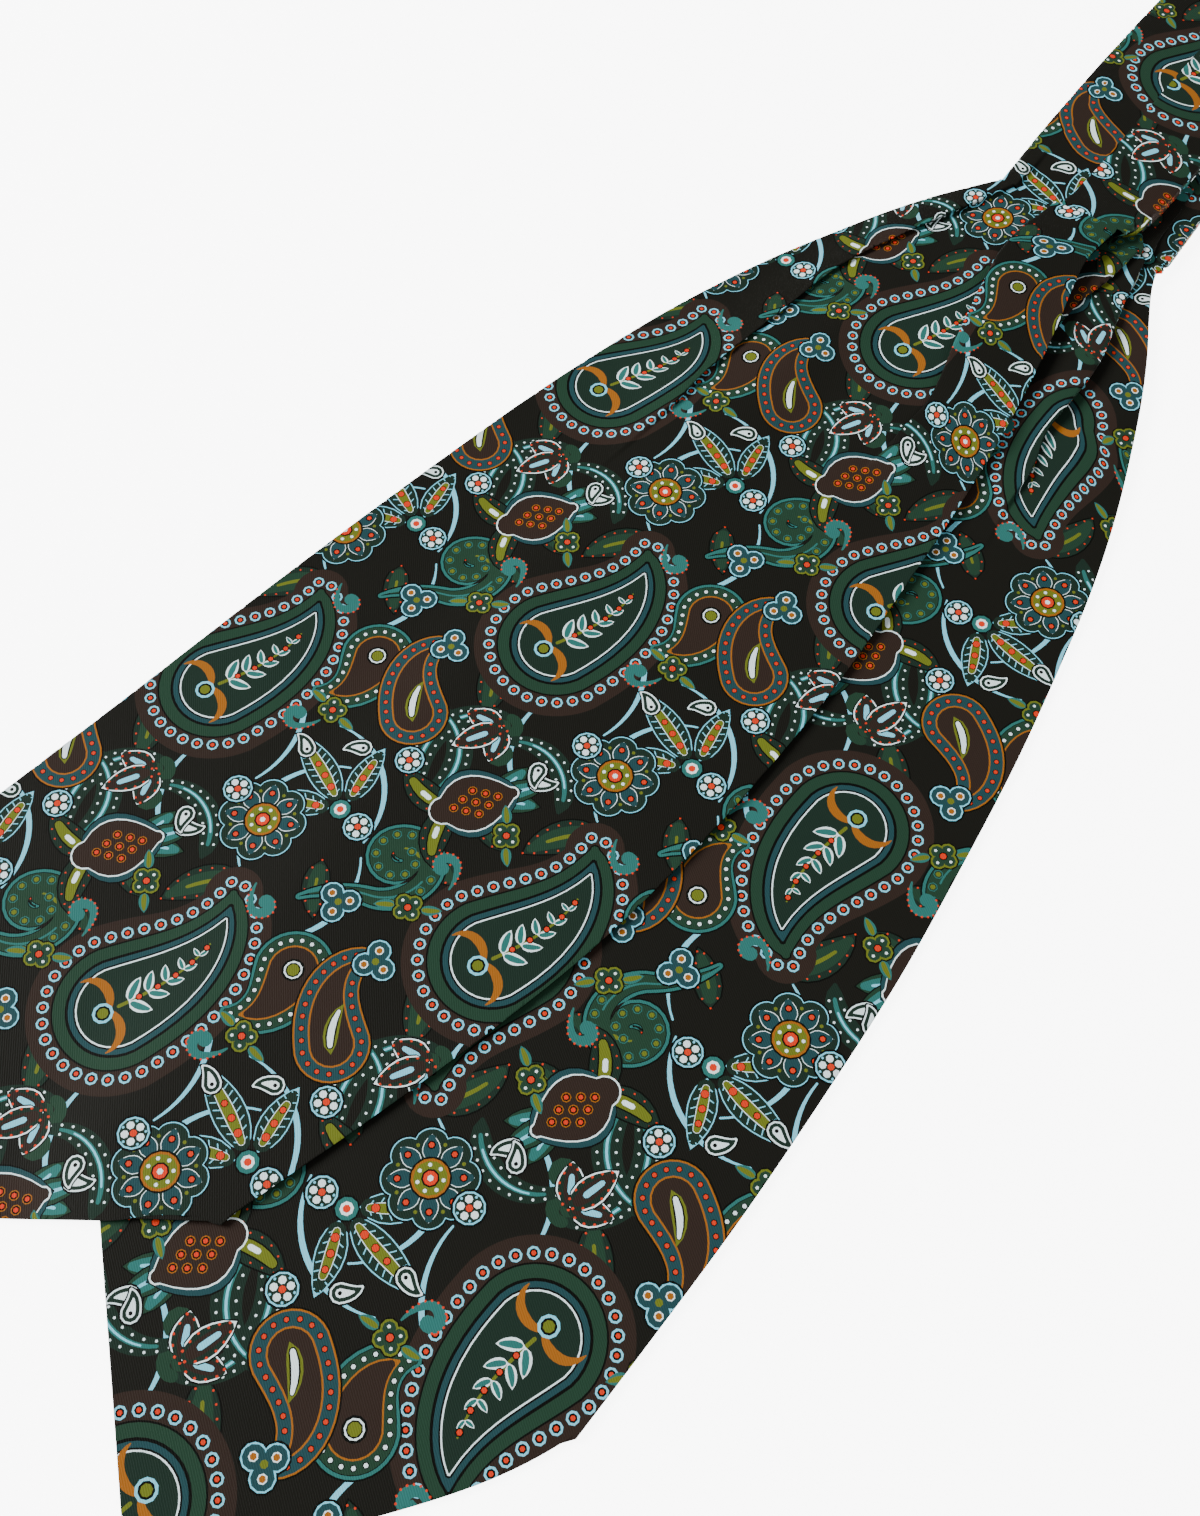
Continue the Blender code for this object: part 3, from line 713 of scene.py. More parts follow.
def petal_fan():
    out = []
    for angle, length in ((-50, 12), (50, 12), (0, 16)):
        form, half = leaf_form(length, 8.0, 0)
        fan = [(LINE, tube(form, half + 0.4)), (WHITE, tube(form, half)),
               (DEEP, tube(form[:-1], half[:-1] - 0.45)), (BROWN, tube(form[1:-1], half[1:-1] * 0.5)),
               (PALE, tube(form[2:-2], half[2:-2] * 0.22))]
        for x, y in evenly(tube(form, half - 0.75), 2.9):
            fan.append((ORANGE, circle(x, y, 0.42)))
        out += placed(fan, 0, 0, angle)
    return out


def tendril(legs, heading=0.0, width=1.0):
    spine = walk(legs, heading, 2.4)
    t = np.linspace(0, 1, len(spine))
    return [(PALE, tube(spine, width * (0.3 + 0.5 * np.sin(math.pi * np.clip(t * 1.1, 0, 1)))))]


def broad_leaf(length, bend):
    form, half = leaf_form(length, length * 0.42, bend)
    out = [(LINE, tube(form, half + 0.5)), (DEEP, tube(form, half)),
           (GREEN, tube(form[1:-1], half[1:-1] * 0.62)), (LIME, tube(form[2:-3], half[2:-3] * 0.12))]
    for x, y in evenly(tube(form, half * 0.8), 3.5):
        out.append((ORANGE, circle(x, y, 0.34)))
    return out


def repeat_unit():
    """One unit of the print: what is drawn at every point of the lattice, from the back to the front."""
    out = []
    for length, bend, x, y, angle in ((64, 130, 4, -31, -10), (52, -120, 66, 12, 62), (46, 100, 96, -8, 10),
                                      (40, -95, 138, -30, 80), (36, 90, 60, -14, -40)):
        out += placed(tendril(((length, bend),)), x, y, angle)
    for x, y, angle, length, bend in ((64, 8, 128, 24, 40), (101, -13, -58, 25, -35), (40, 24, 66, 20, 30),
                                      (150, 0, 20, 22, 40), (84, -4, 210, 18, 20)):
        out += placed(broad_leaf(length, bend), x, y, angle)
    out += placed(feather(((24, -70), (20, -60))), 119, -6, 62)
    out += placed(feather(((22, 75), (18, 60))), 118, -9, -20)
    out += placed(feather(((20, 70), (16, 60)), 0, 0.85), 60, 22, 20)
    out += placed(fern_scroll(), 72, -8, -24, 1.0)
    out += placed(great_paisley(), 16, 2, -18)
    out += placed(round_paisley(), 57, -24, 205, 0.95, True)
    out += placed(slim_paisley(), 134, 14, 62, 1.0, True)
    out += placed(pomegranate(), 128, -21, -28, 0.95)
    out += placed(spray(), 98, 5, 66)
    out += placed(rosette(), 80, 19, 10, 0.95)
    out += placed(petal_fan(), 150, -8, 158)
    for x, y, angle in ((44, 27, 20), (92, -32, 100), (118, 33, 60)):
        out += placed(little_flower(), x, y, angle)
    for x, y, angle in ((158, 24, 30), (79, -17, 80)):
        out += placed(trefoil(), x, y, angle)
    for x, y, angle, mirror in ((66, 4, 200, False), (104, -36, 10, False), (30, -29, 170, True)):
        out += placed(comma_curl(), x, y, angle, 1.0, mirror)
    for x, y, angle in ((116, 16, 120), (62, 33, -60), (148, -26, 200), (104, 28, 60)):
        out += placed(drop(), x, y, angle)
    for x, y in ((123, 3), (-2, -30), (98, -3)):
        out += placed(medallion(), x, y)
    return out


def thinned(points):
    """The outline without every other point, where that hardly changes its bend."""
    if len(points) <= 12:
        return points
    before, after = np.roll(points, 1, axis=0), np.roll(points, -1, axis=0)
    chord, off = after - before, points - before
    bulge = np.abs(chord[:, 0] * off[:, 1] - chord[:, 1] * off[:, 0])
    spare = (bulge < OUTLINE_SLACK * np.linalg.norm(chord, axis=1)) & (np.arange(len(points)) % 2 == 1)
    spare[-1] = False
    return points[~spare]


def inside(points, outline):
    """Which points lie inside a closed outline."""
    x, y = points[:, :1], points[:, 1:]
    after = np.roll(outline, -1, axis=0)
    spans = (outline[:, 1] > y) != (after[:, 1] > y)
    rise = after[:, 1] - outline[:, 1]
    at = outline[:, 0] + (y - outline[:, 1]) * (after[:, 0] - outline[:, 0]) / np.where(rise == 0, 1.0, rise)
    return (spans & (x < at)).sum(axis=1) % 2 == 1


def without_hidden(unit):
    """The unit without the figures that lie wholly under a later one, of this unit or of its neighbours."""
    lows = np.array([points.min(axis=0) for _, points in unit])
    highs = np.array([points.max(axis=0) for _, points in unit])
    shifts = [REPEAT_LONG * m + REPEAT_STEP * n for m in (-1, 0, 1) for n in (-2, -1, 0, 1, 2)]
    shown = []
    for k, (_, points) in enumerate(unit):
        over = []
        for shift in shifts:
            encloses = (lows[k + 1:] + shift <= lows[k]) & (highs[k + 1:] + shift >= highs[k])
            over += [(j, shift) for j in k + 1 + np.nonzero(encloses.all(axis=1))[0]]
        if not any(inside(points, unit[j][1] + shift).all() for j, shift in over):
            shown.append(unit[k])
    return shown


# The half-drop lattice of the print, and how far an outline may move when points are taken out of it.
REPEAT_LONG, REPEAT_STEP = np.array((166.0, 0.0)), np.array((83.0, 62.0))
OUTLINE_SLACK = 0.07
print_unit = without_hidden([(colour, thinned(points)) for colour, points in repeat_unit()])


def print_over(low, high, origin=(0.0, 0.0), turned=False):
    """The figures of the print that reach into a box of cloth places."""
    steps = np.array([(m, n) for m in range(-9, 10) for n in range(-9, 10)])
    shifts = steps[:, :1] * REPEAT_LONG + steps[:, 1:] * REPEAT_STEP + np.array(origin)
    out = []
    for k, (colour, points) in enumerate(print_unit):
        if turned:
            points = -points
        first, last = points.min(axis=0), points.max(axis=0)
        reaching = ((shifts + last > low) & (shifts + first < high)).all(axis=1)
        out += [(k, colour, points + shift) for shift in shifts[reaching]]
    return out


def cut_figures(items, zones, edge=None):
    """The print's figures as closed lines, finer at folds and at the cloth's edge, with the dye of each."""
    fold = np.array(sorted((p, min(a, b), max(a, b)) for p, a, b in zones)) if zones else np.zeros((0, 3))
    lines, dyes = [], [GROUND]
    for _, colour, points in items:
        longest = np.full(len(points), OUTLINE_STEP)
        first, last = np.searchsorted(fold[:, 0], (points[:, 0].min() - 3, points[:, 0].max() + 3))
        near = fold[first:last:2]
        middle = (points + np.roll(points, -1, axis=0)) / 2
        if edge is not None:
            reach = np.ptp(points, axis=0) / 2 + 4
            beside_edge = edge[(np.abs(edge - middle.mean(axis=0)) < reach).all(axis=1)]
            if len(beside_edge) > 1:
                off = np.linalg.norm(middle[:, None] - beside_edge[None], axis=2).min(axis=1)
                longest[off < 3.0] = EDGE_STEP
        if len(near):
            beside = np.abs(middle[:, :1] - near[:, 0]) < 3
            within = (middle[:, 1:] > near[:, 1] - 3) & (middle[:, 1:] < near[:, 2] + 3)
            longest[(beside & within).any(axis=1)] = FOLD_STEP
        lines.append(subdivide(points, longest))
        dyes.append(colour)
    return lines, np.array(dyes)


def silk_piece(name, node, points, faces, normals, colours, cloth):
    """A closed cloth shell as an object. colours and cloth hold a value for each face and for each point."""
    mesh = bpy.data.meshes.new(name)
    points = (points - np.array((*LAY_CENTRE, 0))) * MM
    mesh.vertices.add(len(points))
    mesh.vertices.foreach_set("co", points.ravel())
    mesh.loops.add(len(faces) * 3)
    mesh.loops.foreach_set("vertex_index", faces.ravel())
    mesh.polygons.add(len(faces))
    mesh.polygons.foreach_set("loop_start", np.arange(0, len(faces) * 3, 3))
    mesh.update(calc_edges=True)
    mesh.polygons.foreach_set("use_smooth", np.ones(len(faces), bool))
    dye = mesh.color_attributes.new("dye", "FLOAT_COLOR", "CORNER")
    dye.data.foreach_set("color", np.repeat(colours, 3, axis=0).ravel().astype(np.float32))
    uv = mesh.uv_layers.new(name="cloth")
    uv.data.foreach_set("uv", (cloth[faces.ravel()] * 0.01).ravel().astype(np.float32))
    mesh.normals_split_custom_set_from_vertices(normals.tolist())
    mesh.materials.append(silk)
    piece = bpy.data.objects.new(name, mesh)
    bpy.context.scene.collection.objects.link(piece)
    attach(piece, "root")
    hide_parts(node)
    return piece


# Where the columns of the net run in a fold: 0 where its cloth goes under and 1 at the top of its edge.
FOLD_NET = np.linspace(-0.15, 1.15, 24)


def net_spots(line, step, zones):
    """A net of places inside a border's box, closer together in the folds."""
    low, high = line.min(axis=0), line.max(axis=0)
    spots = []
    for k, p in enumerate(np.arange(low[0] + step / 2, high[0], step)):
        for q in np.arange(low[1] + (0.25 + 0.5 * (k % 2)) * step, high[1], step):
            spots.append((p, q))
    for p, start, top in zones[::2]:
        spots += [(float(p), q) for q in start + (top - start) * FOLD_NET]
    return spots


def blade_ply(blade, heights, inset, bow, name, node, face_down, items):
    """A ply of a blade as a thin closed shell: printed face, turned edge and plain inner face."""
    flip = -1.0 if face_down else 1.0
    border = blade.border(inset, bow)
    line = np.array([(p, q) for p, q, _ in border])
    joined = np.array([j for _, _, j in border])
    along = np.broadcast_to(blade.p[:, None], blade.across.shape)
    surface = np.dstack((blade.place(along, blade.across), heights))
    normals = normals_of(surface) * flip
    neck = [i for i in range(len(line)) if joined[i]]
    open_line = np.array([line[(i + neck[-1] + 1) % len(line)] for i in range(len(line) - len(neck))])
    figures, dyes = cut_figures(items, blade.zones, open_line)
    spots = net_spots(line, FACE_NET, blade.zones)
    tangent = np.roll(open_line, -1, axis=0) - np.roll(open_line, 1, axis=0)
    tangent /= np.maximum(np.linalg.norm(tangent, axis=1, keepdims=True), 1e-9)
    inward = np.stack((-tangent[:, 1], tangent[:, 0]), axis=1)
    for depth in (0.12, 0.4, 0.85, 1.6):
        spots += [tuple(point) for point in (open_line + inward * depth)[1:-1]]
    plane, triangles, covers = triangulate(line, spots, figures)
    plane, triangles = only_used(plane, triangles)
    loop = border_loop(triangles)
    inner_plane, inner_triangles, _ = triangulate(plane[loop], net_spots(line, INNER_NET, blade.zones[::2]))
    inner_plane, inner_triangles = only_used(inner_plane, inner_triangles)

    def lay(places):
        point = blade.sample(surface, places[:, 0], places[:, 1])
        normal = blade.sample(normals, places[:, 0], places[:, 1])
        normal /= np.maximum(np.linalg.norm(normal, axis=1, keepdims=True), 1e-9)
        depth = distance_to(places, open_line)
        near = np.clip(1 - depth / EDGE_ROUND, 0, 1)
        point = point - normal * (EDGE_ROUND * (1 - np.sqrt(1 - near**2)))[:, None]
        return point, normal

    points, shown = lay(plane)
    inner_points, inner_normals = lay(inner_plane)
    inner_points = inner_points - inner_normals * SHELL
    inner_loop = border_loop(inner_triangles)
    start = int(np.argmin(np.linalg.norm(inner_plane[inner_loop] - plane[loop[0]], axis=1)))
    inner_loop = inner_loop[start:] + inner_loop[:start]
    count = len(points)
    if face_down:
        triangles = triangles[:, ::-1]
    else:
        inner_triangles = inner_triangles[:, ::-1]
    rim = []
    for k in range(len(loop)):
        a, b = loop[k], loop[(k + 1) % len(loop)]
        c, d = inner_loop[k] + count, inner_loop[(k + 1) % len(loop)] + count
        rim += [(a, c, b), (b, c, d)] if not face_down else [(a, b, c), (b, d, c)]
    faces = np.vstack((triangles, inner_triangles + count, np.array(rim)))
    everything = np.vstack((points, inner_points))
    every_normal = np.vstack((shown, -inner_normals))
    colours = np.vstack((palette[dyes[covers]], np.tile(palette[GROUND], (len(faces) - len(covers), 1))))
    cloth = np.vstack((plane, inner_plane))
    return silk_piece(name, node, everything, faces, every_normal, colours, cloth)


silk = bpy.data.materials.new("printed_silk")
silk.use_nodes = True
silk_shader = silk.node_tree.nodes["Principled BSDF"]
dye_node = silk.node_tree.nodes.new("ShaderNodeAttribute")
dye_node.attribute_name = "dye"
silk.node_tree.links.new(dye_node.outputs["Color"], silk_shader.inputs["Base Color"])
silk_shader.inputs["Roughness"].default_value = 0.5
silk_shader.inputs["Specular IOR Level"].default_value = 0.03
silk_shader.inputs["Sheen Weight"].default_value = 0.004
silk_shader.inputs["Sheen Roughness"].default_value = 0.4
# The twill: fine ribs across the grain, a little uneven. The UV layer counts a hundredth for each millimetre.
TWILL_PITCH, TWILL_ANGLE, TWILL_DEPTH = 0.62, math.radians(38), 0.04
cloth_node = silk.node_tree.nodes.new("ShaderNodeUVMap")
cloth_node.uv_map = "cloth"
grain_node = silk.node_tree.nodes.new("ShaderNodeMapping")
grain_node.inputs["Rotation"].default_value = (0, 0, TWILL_ANGLE)
rib_node = silk.node_tree.nodes.new("ShaderNodeTexWave")
rib_node.inputs["Scale"].default_value = 2 * math.pi / 20 / (TWILL_PITCH * 0.01)
rib_node.inputs["Distortion"].default_value = 2.5
rib_node.inputs["Detail Scale"].default_value = 3.0
weave_node = silk.node_tree.nodes.new("ShaderNodeBump")
weave_node.inputs["Distance"].default_value = TWILL_DEPTH * MM
weave_node.inputs["Strength"].default_value = 1.0
silk.node_tree.links.new(cloth_node.outputs["UV"], grain_node.inputs["Vector"])
silk.node_tree.links.new(grain_node.outputs["Vector"], rib_node.inputs["Vector"])
silk.node_tree.links.new(rib_node.outputs["Fac"], weave_node.inputs["Height"])
silk.node_tree.links.new(weave_node.outputs["Normal"], silk_shader.inputs["Normal"])

lower = Blade(LOWER_TIP, LOWER_ANGLE, LOWER_OUTLINE,
              ((BAND_PLEAT, 1, False, 22.0), (SHADED_PLEAT, 1, False, 22.0)), LOWER_POINT_DEPTH, CORNER_BACK)


def lower_height(along, across, fold):
    ripple = 0.35 * smooth_step((along - 340.0) / 100.0) * np.sin(across / 5.5 + along / 70.0)
    return LINED_BLADE + pile(along) + fold + ripple


lower_along = np.broadcast_to(lower.p[:, None], lower.across.shape)
lower_top = lower_height(lower_along, lower.across, lower.fold)
BLADE_BOX = ((-10.0, -105.0), (535.0, 105.0))
LOWER_PRINT_START = (30.0, 12.0)
lower_print = print_over(*BLADE_BOX, LOWER_PRINT_START, True)
lower_front = blade_ply(lower, lower_top, 0.0, 0.0, "lower_blade_front_silk", "lower_blade_front",
                        False, lower_print)


# The underside of the lower blade: a second ply of the same silk, print side down, a little narrower than the
# front, so that the seam between them rolls under. It lies flat on the table.
UNDERSIDE_INSET = 0.8
FEWEST_POINTS = 7


def plain(items):
    """The print without its smallest dots and ribs, for the plies that lie print side down."""
    return [item for item in items if len(item[2]) >= FEWEST_POINTS]


lower_rest = np.full(lower.across.shape, 0.12)
lower_under = blade_ply(lower, lower_rest, UNDERSIDE_INSET, 0.0, "lower_blade_underside_silk",
                        "lower_blade_underside", True, plain(lower_print))


# The front of the upper blade: the printed ply of the blade on the left, which lies over the lower one.
# A long tuck runs down from its left side and a sharper pleat from the middle of the gather.
UPPER_TIP, UPPER_ANGLE = (-198.6, 83.7), math.radians(44)
UPPER_OUTLINE = (
    (74, 71.8, 72.6), (110, 72, 77.6), (150, 72.4, 82.2), (190, 73.2, 84.8), (230, 73.5, 83.7),
    (270, 73.2, 80), (310, 72, 74), (345, 69.2, 66.4), (380, 64.4, 58.6), (410, 58, 50.8),
    (435, 50.8, 43), (455, 43.6, 36),
    (475, 34, 28), (487, 27.6, 24), (498, 22, 23), (520, 15, 24),
)
UPPER_POINT_DEPTH = 70.0
LEFT_TUCK = ((290, 32, 0), (336, 33, 0.2), (362, 36, 0.42), (396, 36, 0.55), (432, 35, 0.55), (454, 29, 0.45),
             (490, 18, 0.25), (530, 8, 0.2))
MIDDLE_PLEAT = ((362, -27, 0), (389, -26.5, 0.35), (402, -25, 0.6), (428, -15, 0.9), (452, -6, 1),
                (467, -1, 1), (480, 1, 0.9), (497, 1, 0.5), (530, 1, 0.2))
BOW_DEPTH = 2.8
DRAPE_CELL, DRAPE_FALL = 2.0, 0.11
HALF_WIDTH = 72.0
upper = Blade(UPPER_TIP, UPPER_ANGLE, UPPER_OUTLINE,
              ((LEFT_TUCK, 1, True, 36.0), (MIDDLE_PLEAT, -1, True, 30.0)), UPPER_POINT_DEPTH, 0.0)


def drape_over(points):
    """Heights of the table with the points on it, under a cloth that falls no steeper than DRAPE_FALL."""
    low = points.reshape(-1, 3).min(axis=0)[:2] - 60
    spread = points.reshape(-1, 3).max(axis=0)[:2] + 60 - low
    field = np.zeros((int(spread[0] / DRAPE_CELL) + 1, int(spread[1] / DRAPE_CELL) + 1))
    cell = np.round((points.reshape(-1, 3)[:, :2] - low) / DRAPE_CELL).astype(int)
    np.maximum.at(field, (cell[:, 0], cell[:, 1]), points.reshape(-1, 3)[:, 2])
    for _ in range(40):
        before = field.copy()
        for dx, dy in ((1, 0), (-1, 0), (0, 1), (0, -1), (1, 1), (1, -1), (-1, 1), (-1, -1)):
            fall = DRAPE_FALL * DRAPE_CELL * math.hypot(dx, dy)
            field = np.maximum(field, np.roll(before, (dx, dy), (0, 1)) - fall)
        if np.allclose(before, field):
            break
    for _ in range(14):
        around = sum(np.roll(field, shift, axis) for shift, axis in ((1, 0), (-1, 0), (1, 1), (-1, 1)))
        field = np.maximum(field * 0.4, 0.5 * field + 0.125 * around)
    return low, field


def height_at(drape, x, y):
    low, field = drape
    i = np.clip((x - low[0]) / DRAPE_CELL, 0, field.shape[0] - 1.001)
    j = np.clip((y - low[1]) / DRAPE_CELL, 0, field.shape[1] - 1.001)
    i0, j0 = i.astype(int), j.astype(int)
    a, b = i - i0, j - j0
    near = field[i0, j0] * (1 - b) + field[i0, j0 + 1] * b
    far = field[i0 + 1, j0] * (1 - b) + field[i0 + 1, j0 + 1] * b
    return near * (1 - a) + far * a


def inside_blade(blade, margin=0.0):
    """Which of a blade's cloth places lie between its edges, its point and the band."""
    along = np.broadcast_to(blade.p[:, None], blade.across.shape)
    left, right = blade.edges(along)
    ends = blade.depth * np.abs(blade.across) / HALF_WIDTH
    inside = (blade.across < left - margin) & (blade.across > margin - right)
    return inside & (along > ends + margin) & (along < blade.neck_along(blade.across) + 2)


lower_places = lower.place(lower_along, lower.across)
lower_points = np.dstack((lower_places, lower_top))[inside_blade(lower, 1.0)]
lower_drape = drape_over(lower_points)
upper_along = np.broadcast_to(upper.p[:, None], upper.across.shape)
upper_places = upper.place(upper_along, upper.across)
upper_rest = height_at(lower_drape, upper_places[..., 0], upper_places[..., 1]) + 0.25


def upper_height(along, across, fold):
    off_along = (along - 358.0) / 34.0
    off_across = (across + 5.0) / 13.0
    hollow = 0.8 * np.exp(-(off_along**2) - off_across**2)
    swell = 0.6 * smooth_step((along - 300.0) / 90.0) * (1 + np.sin(across / 8.0 - along / 55.0)) / 2
    return LINED_BLADE + pile(along) + fold - hollow + swell + 0.5 * smooth_step((along - 280.0) / 60.0)


upper_top = upper_rest + upper_height(upper_along, upper.across, upper.fold)
UPPER_PRINT_START = (70.0, -8.0)
upper_print = print_over(*BLADE_BOX, UPPER_PRINT_START)
upper_front = blade_ply(upper, upper_top, 0.0, BOW_DEPTH, "upper_blade_front_silk", "upper_blade_front",
                        False, upper_print)


# The underside of the upper blade: the ply that rests on the lower blade and, to its left, on the table. A
# narrow strip of it peeks out at the pointed end, where the front has drawn back.
upper_under = blade_ply(upper, upper_rest + 0.05, UNDERSIDE_INSET, 0.0, "upper_blade_underside_silk",
                        "upper_blade_underside", True, plain(upper_print))


# The lower leg of the neck band: the cloth of the lower blade run on, pressed into four pleats on top of each
# other and stitched. It lies flat on the table, mostly under the upper leg.
LEG_HEIGHT, CROWN = LINED_BLADE + PILE_HEIGHT, 0.9
BAND_LENGTH, PLEATS_IN_LEG, LOBE_DEPTH = 152.0, 4, 0.5
# The cloth down the side of a leg, in how many points, and from there to the middle of its underside.
SIDE_CLOTH, SIDE_POINTS, UNDER_CLOTH = 6.0, 24, 28.0
# The folds of the gather run this far into a leg before it is smooth.
GATHER_FADE = 30.0
# Where a leg starts, its sides run in under the blade by this much.
SIDE_TUCK = 8.0
# along, left, right: the edges of each leg, measured from its left corner. The right side counts as plus.
LOWER_LEG = ((0, 13, 66), (31, 12, 65.8), (90, 8, 63.5), (152, 4, 60))
BAND_AXIS = np.array((math.cos(BAND_ANGLE), math.sin(BAND_ANGLE)))
BAND_RIGHT = np.array((math.sin(BAND_ANGLE), -math.cos(BAND_ANGLE)))


class Leg:
    """A leg of the band: p runs along it and q round it, on from its blade's own cloth places."""

    P_STEP, Q_STEP = 2.0, 0.2
    sample = Blade.sample

    def __init__(self, blade, blade_heights, edges, low, high):
        self.cut = np.array([(p, q) for p, q, joined in blade.border(0.0, 0.0) if joined])
        at_p, at_q = self.cut[:, 0], self.cut[:, 1]
        start = (blade.place(at_p, blade.sample(blade.across, at_p, at_q)) - BAND_LEFT) @ BAND_RIGHT
        start_height = blade.sample(blade_heights, at_p, at_q)
        share = np.clip((start - start[-1]) / (start[0] - start[-1]), 0, 1)
        level = np.minimum.accumulate(share)
        near = np.clip(1 - np.minimum(at_q - at_q[0], at_q[-1] - at_q) / EDGE_ROUND, 0, 1)
        rolled = EDGE_ROUND * (1 - np.sqrt(1 - near**2))
        t = np.arange(1, SIDE_POINTS + 1) / SIDE_POINTS
        round_side = np.append(SIDE_CLOTH * t, SIDE_CLOTH + UNDER_CLOTH)
        q_line = np.concatenate((at_q[0] - round_side[::-1], at_q, at_q[-1] + round_side))
        depth = LOBE_DEPTH * (1 - np.abs(np.sin(math.pi * (0.5 + t * (PLEATS_IN_LEG - 0.5)))))
        self.low_q, self.high_q = q_line[0], q_line[-1]
        self.side_low, self.side_high = at_q[0], at_q[-1]
        self.p = np.arange(0.0, BAND_LENGTH + 0.1, self.P_STEP)
        self.q = np.arange(self.low_q, self.high_q + self.Q_STEP, self.Q_STEP)
        rows = []
        for p in self.p:
            left = float(column_of(edges, np.array([p]), 1)[0])
            right = float(column_of(edges, np.array([p]), 2)[0])
            middle = (left + right) / 2
            spread = level + (share - level) * (1 - smooth_step(p / (GATHER_FADE / 2)))
            offset = left + spread * (right - left)
            settled = high + CROWN * np.sin(math.pi * spread) ** 0.6
            height = settled + (start_height - rolled - settled) * (1 - smooth_step(p / GATHER_FADE))
            right_side = height[0] + (low - height[0]) * t
            left_side = height[-1] + (low - height[-1]) * t
            drawn_in = depth + SIDE_TUCK * t * (1 - smooth_step(p / SIDE_TUCK))
            sides = (right - drawn_in)[::-1], left + drawn_in
            offsets = np.concatenate(((middle,), sides[0], offset, sides[1], (middle,)))
            heights = np.concatenate(((low,), right_side[::-1], height, left_side, (low,)))
            place = BAND_LEFT + BAND_AXIS * p + BAND_RIGHT * np.interp(self.q, q_line, offsets)[:, None]
            rows.append(np.hstack((place, np.interp(self.q, q_line, heights)[:, None])))
        self.surface = np.array(rows)
        end_q = np.linspace(self.low_q, self.high_q, 60)[1:-1]
        self.line = [(p, self.low_q) for p in self.p] + [(self.p[-1], q) for q in end_q]
        self.line += [(p, self.high_q) for p in self.p[::-1]] + [(self.p[0], q) for q in end_q[::-1]]
        self.line = np.array(self.line)


def leg_piece(leg, name, node, start, turned):
    """A leg's printed cloth, all round it, with the print running on from its blade."""
    normals = normals_of(leg.surface)
    low = (leg.cut[:, 0].min() - 5, leg.q[0])
    high = (leg.cut[:, 0].max() + BAND_LENGTH + 5, leg.q[-1])

    def onto(points):
        start_p = np.interp(points[:, 1], leg.cut[:, 1], leg.cut[:, 0])
        return points - np.stack((start_p, np.zeros(len(points))), axis=1)

    items = [(k, colour, onto(points)) for k, colour, points in print_over(low, high, start, turned)]
    items = [item for item in items if item[2][:, 0].max() > 0 and item[2][:, 0].min() < BAND_LENGTH]
    figures, dyes = cut_figures(items, [])
    spots = []
    low_side = np.arange(leg.side_low - SIDE_CLOTH, leg.side_low + 0.6, SIDE_CLOTH / SIDE_POINTS)
    high_side = np.arange(leg.side_high - 0.6, leg.side_high + SIDE_CLOTH, SIDE_CLOTH / SIDE_POINTS)
    middle = np.arange(leg.side_low + 1.2, leg.side_high - 1, 1.0)
    under_low = np.arange(leg.low_q + 3, low_side[0] - 1, 3.0)
    under_high = np.arange(high_side[-1] + 1, leg.high_q - 1, 3.0)
    for p in np.arange(0.8, BAND_LENGTH - 0.5, 1.6):
        spots += [(p, q) for q in low_side] + [(p, q) for q in high_side]
    for p in np.arange(2.0, BAND_LENGTH - 1, 3.0):
        spots += [(p, q) for q in np.concatenate((under_low, under_high, middle))]
    for p in np.arange(0.8, GATHER_FADE, 1.2):
        spots += [(p, q) for q in np.arange(middle[0], middle[-1], 0.7)]
    plane, triangles, covers = triangulate(leg.line, spots, figures)
    plane, triangles = only_used(plane, triangles)
    points = leg.sample(leg.surface, plane[:, 0], plane[:, 1])
    normal = leg.sample(normals, plane[:, 0], plane[:, 1])
    normal /= np.maximum(np.linalg.norm(normal, axis=1, keepdims=True), 1e-9)
    return silk_piece(name, node, points, triangles, normal, palette[dyes[covers]], plane)


lower_leg = Leg(lower, lower_top, LOWER_LEG, 0.1, LEG_HEIGHT)
lower_band = leg_piece(lower_leg, "lower_neck_band_silk", "lower_neck_band", LOWER_PRINT_START, True)


# The upper leg of the neck band: the cloth of the upper blade run on in the same pleats. It lies on the lower
# leg, a little to its left.
UPPER_LEG = ((0, 0, 49), (10, 0, 51.8), (38, 0, 54.5), (90, 1, 56), (152, 4, 60))
UPPER_LEG_LOW = LEG_HEIGHT + CROWN + PLY_GAP
upper_leg = Leg(upper, upper_top, UPPER_LEG, UPPER_LEG_LOW, UPPER_LEG_LOW + LEG_HEIGHT)
upper_band = leg_piece(upper_leg, "upper_neck_band_silk", "upper_neck_band", UPPER_PRINT_START, False)


# The fold at the centre back of the neck: the upper leg turns over and runs back as the lower one. The pleats
# turn with it, the outer one round all the others.
FOLD_TOP = UPPER_LEG_LOW + LEG_HEIGHT
FOLD_TURNS, FOLD_CORE = 28, 0.15


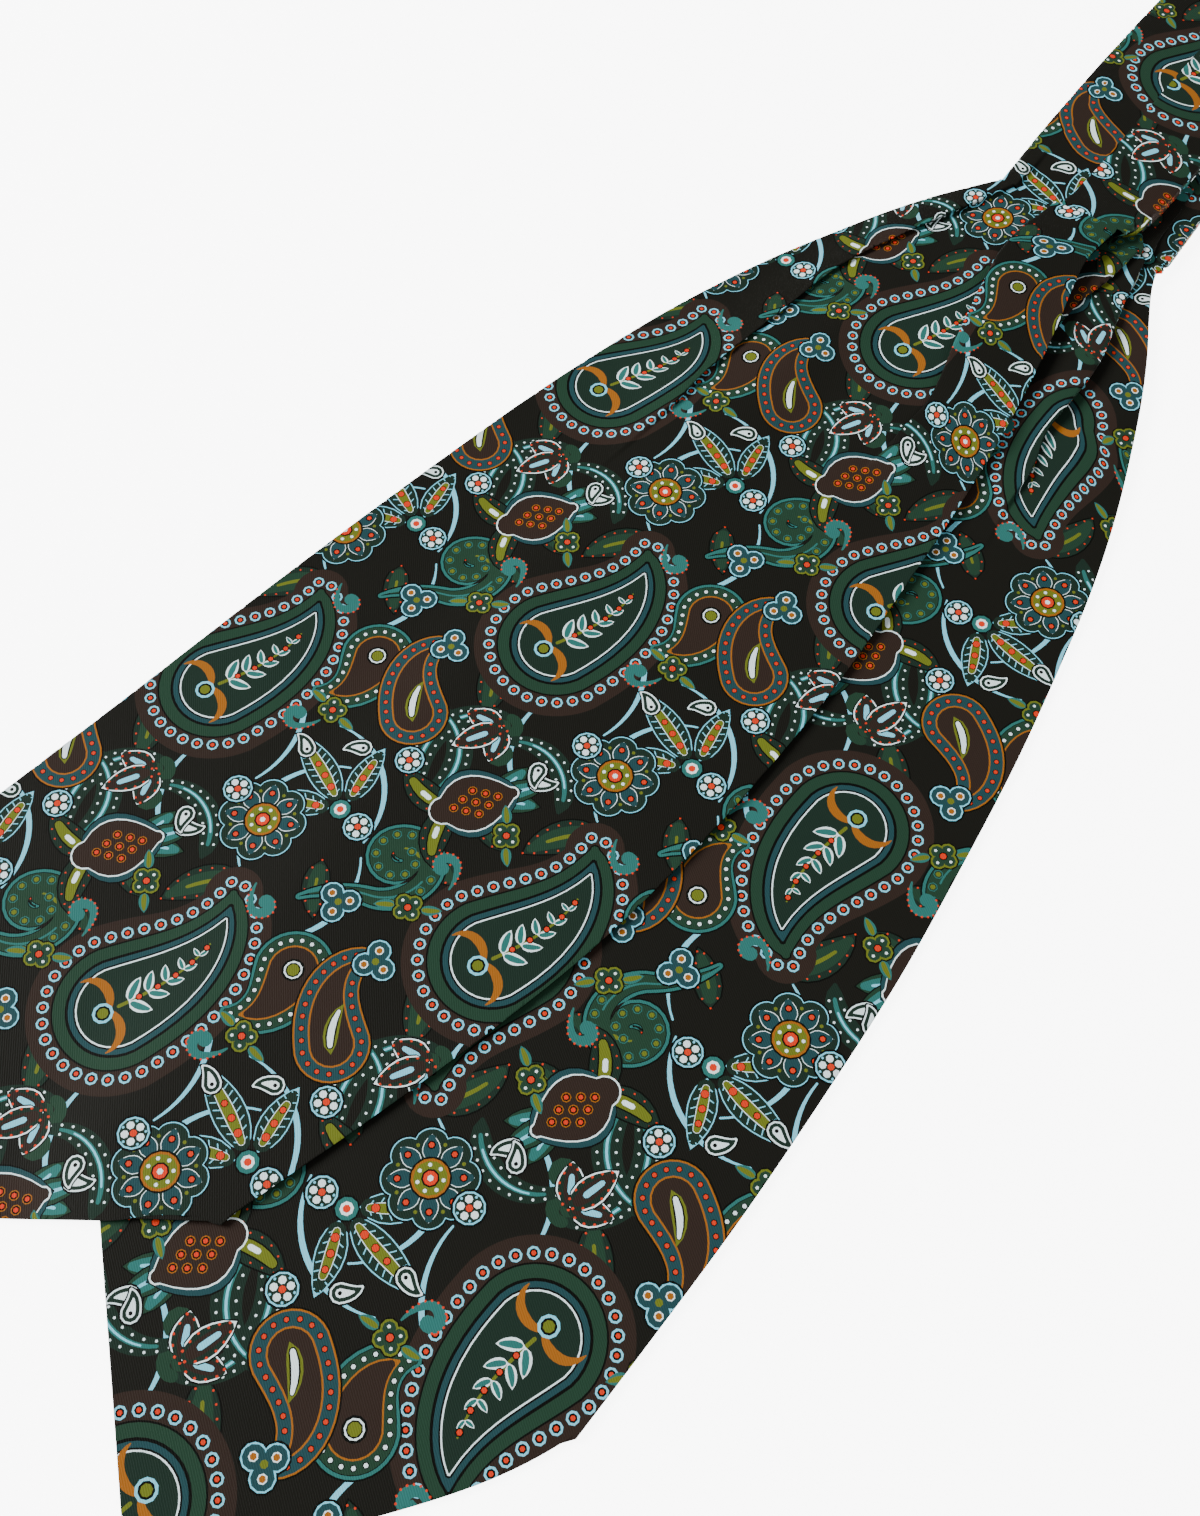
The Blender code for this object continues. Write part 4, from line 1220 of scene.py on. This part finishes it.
class Turn:
    """The turned stack: p runs round the fold on its outer pleat and q across it, on round its edges."""

    P_STEP, Q_STEP = FOLD_TOP / 2 * math.pi / FOLD_TURNS, 0.25
    sample = Blade.sample

    def __init__(self):
        half = FOLD_TOP / 2
        left, right = UPPER_LEG[-1][1], UPPER_LEG[-1][2]
        side = []
        steps = PLEATS_IN_LEG * 6
        for k in range(steps + 1):
            depth = LOBE_DEPTH * (1 - abs(math.sin(math.pi * k / 6)) ** 0.6)
            side.append((depth, max(half - half * k / steps, FOLD_CORE)))
        path = [(right - depth, radius) for depth, radius in side[::-1]]
        for t in np.linspace(0, 1, 41)[1:-1]:
            crown = CROWN * 0.6 * math.sin(math.pi * t) ** 0.6
            path.append((right + (left - right) * t, half + crown))
        path += [(left + depth, radius) for depth, radius in side]
        path = np.array(path)
        length = np.concatenate(([0], np.cumsum(np.linalg.norm(np.diff(path, axis=0), axis=1))))
        self.p = np.arange(FOLD_TURNS + 1) * self.P_STEP
        self.q = np.arange(0, length[-1] + self.Q_STEP, self.Q_STEP)
        self.end_q = length[-1]
        offset = np.interp(self.q, length, path[:, 0])
        radius = np.interp(self.q, length, path[:, 1])
        rows = []
        for k in range(FOLD_TURNS + 1):
            angle = math.pi / 2 - math.pi * k / FOLD_TURNS
            place = BAND_LEFT + BAND_RIGHT * offset[:, None]
            place = place + BAND_AXIS * (BAND_LENGTH + radius * math.cos(angle))[:, None]
            height = np.maximum(half + 0.1 + radius * math.sin(angle), 0.05)
            rows.append(np.hstack((place, height[:, None])))
        self.surface = np.array(rows)


turn = Turn()
normals = normals_of(turn.surface)
q_line = np.arange(0, turn.end_q, 2.0)
p_line = turn.p[::2]
line = [(0.0, q) for q in q_line[::-1]] + [(p, 0.0) for p in p_line[1:]]
line += [(turn.p[-1], q) for q in q_line[1:]] + [(p, turn.end_q) for p in p_line[::-1]]
spots = [(p, q) for p in turn.p[1:-1] for q in np.arange(0.5, turn.end_q, 1.0)]
figures, dyes = cut_figures(print_over((-2, -2), (turn.p[-1] + 2, turn.end_q + 2), (-20, 30)), [])
plane, triangles, covers = triangulate(line, spots, figures)
points = turn.sample(turn.surface, plane[:, 0], plane[:, 1])
normal = turn.sample(normals, plane[:, 0], plane[:, 1])
normal /= np.maximum(np.linalg.norm(normal, axis=1, keepdims=True), 1e-9)
fold_piece = silk_piece("neck_band_fold_silk", "neck_band_fold", points, triangles, normal,
                        palette[dyes[covers]], plane)
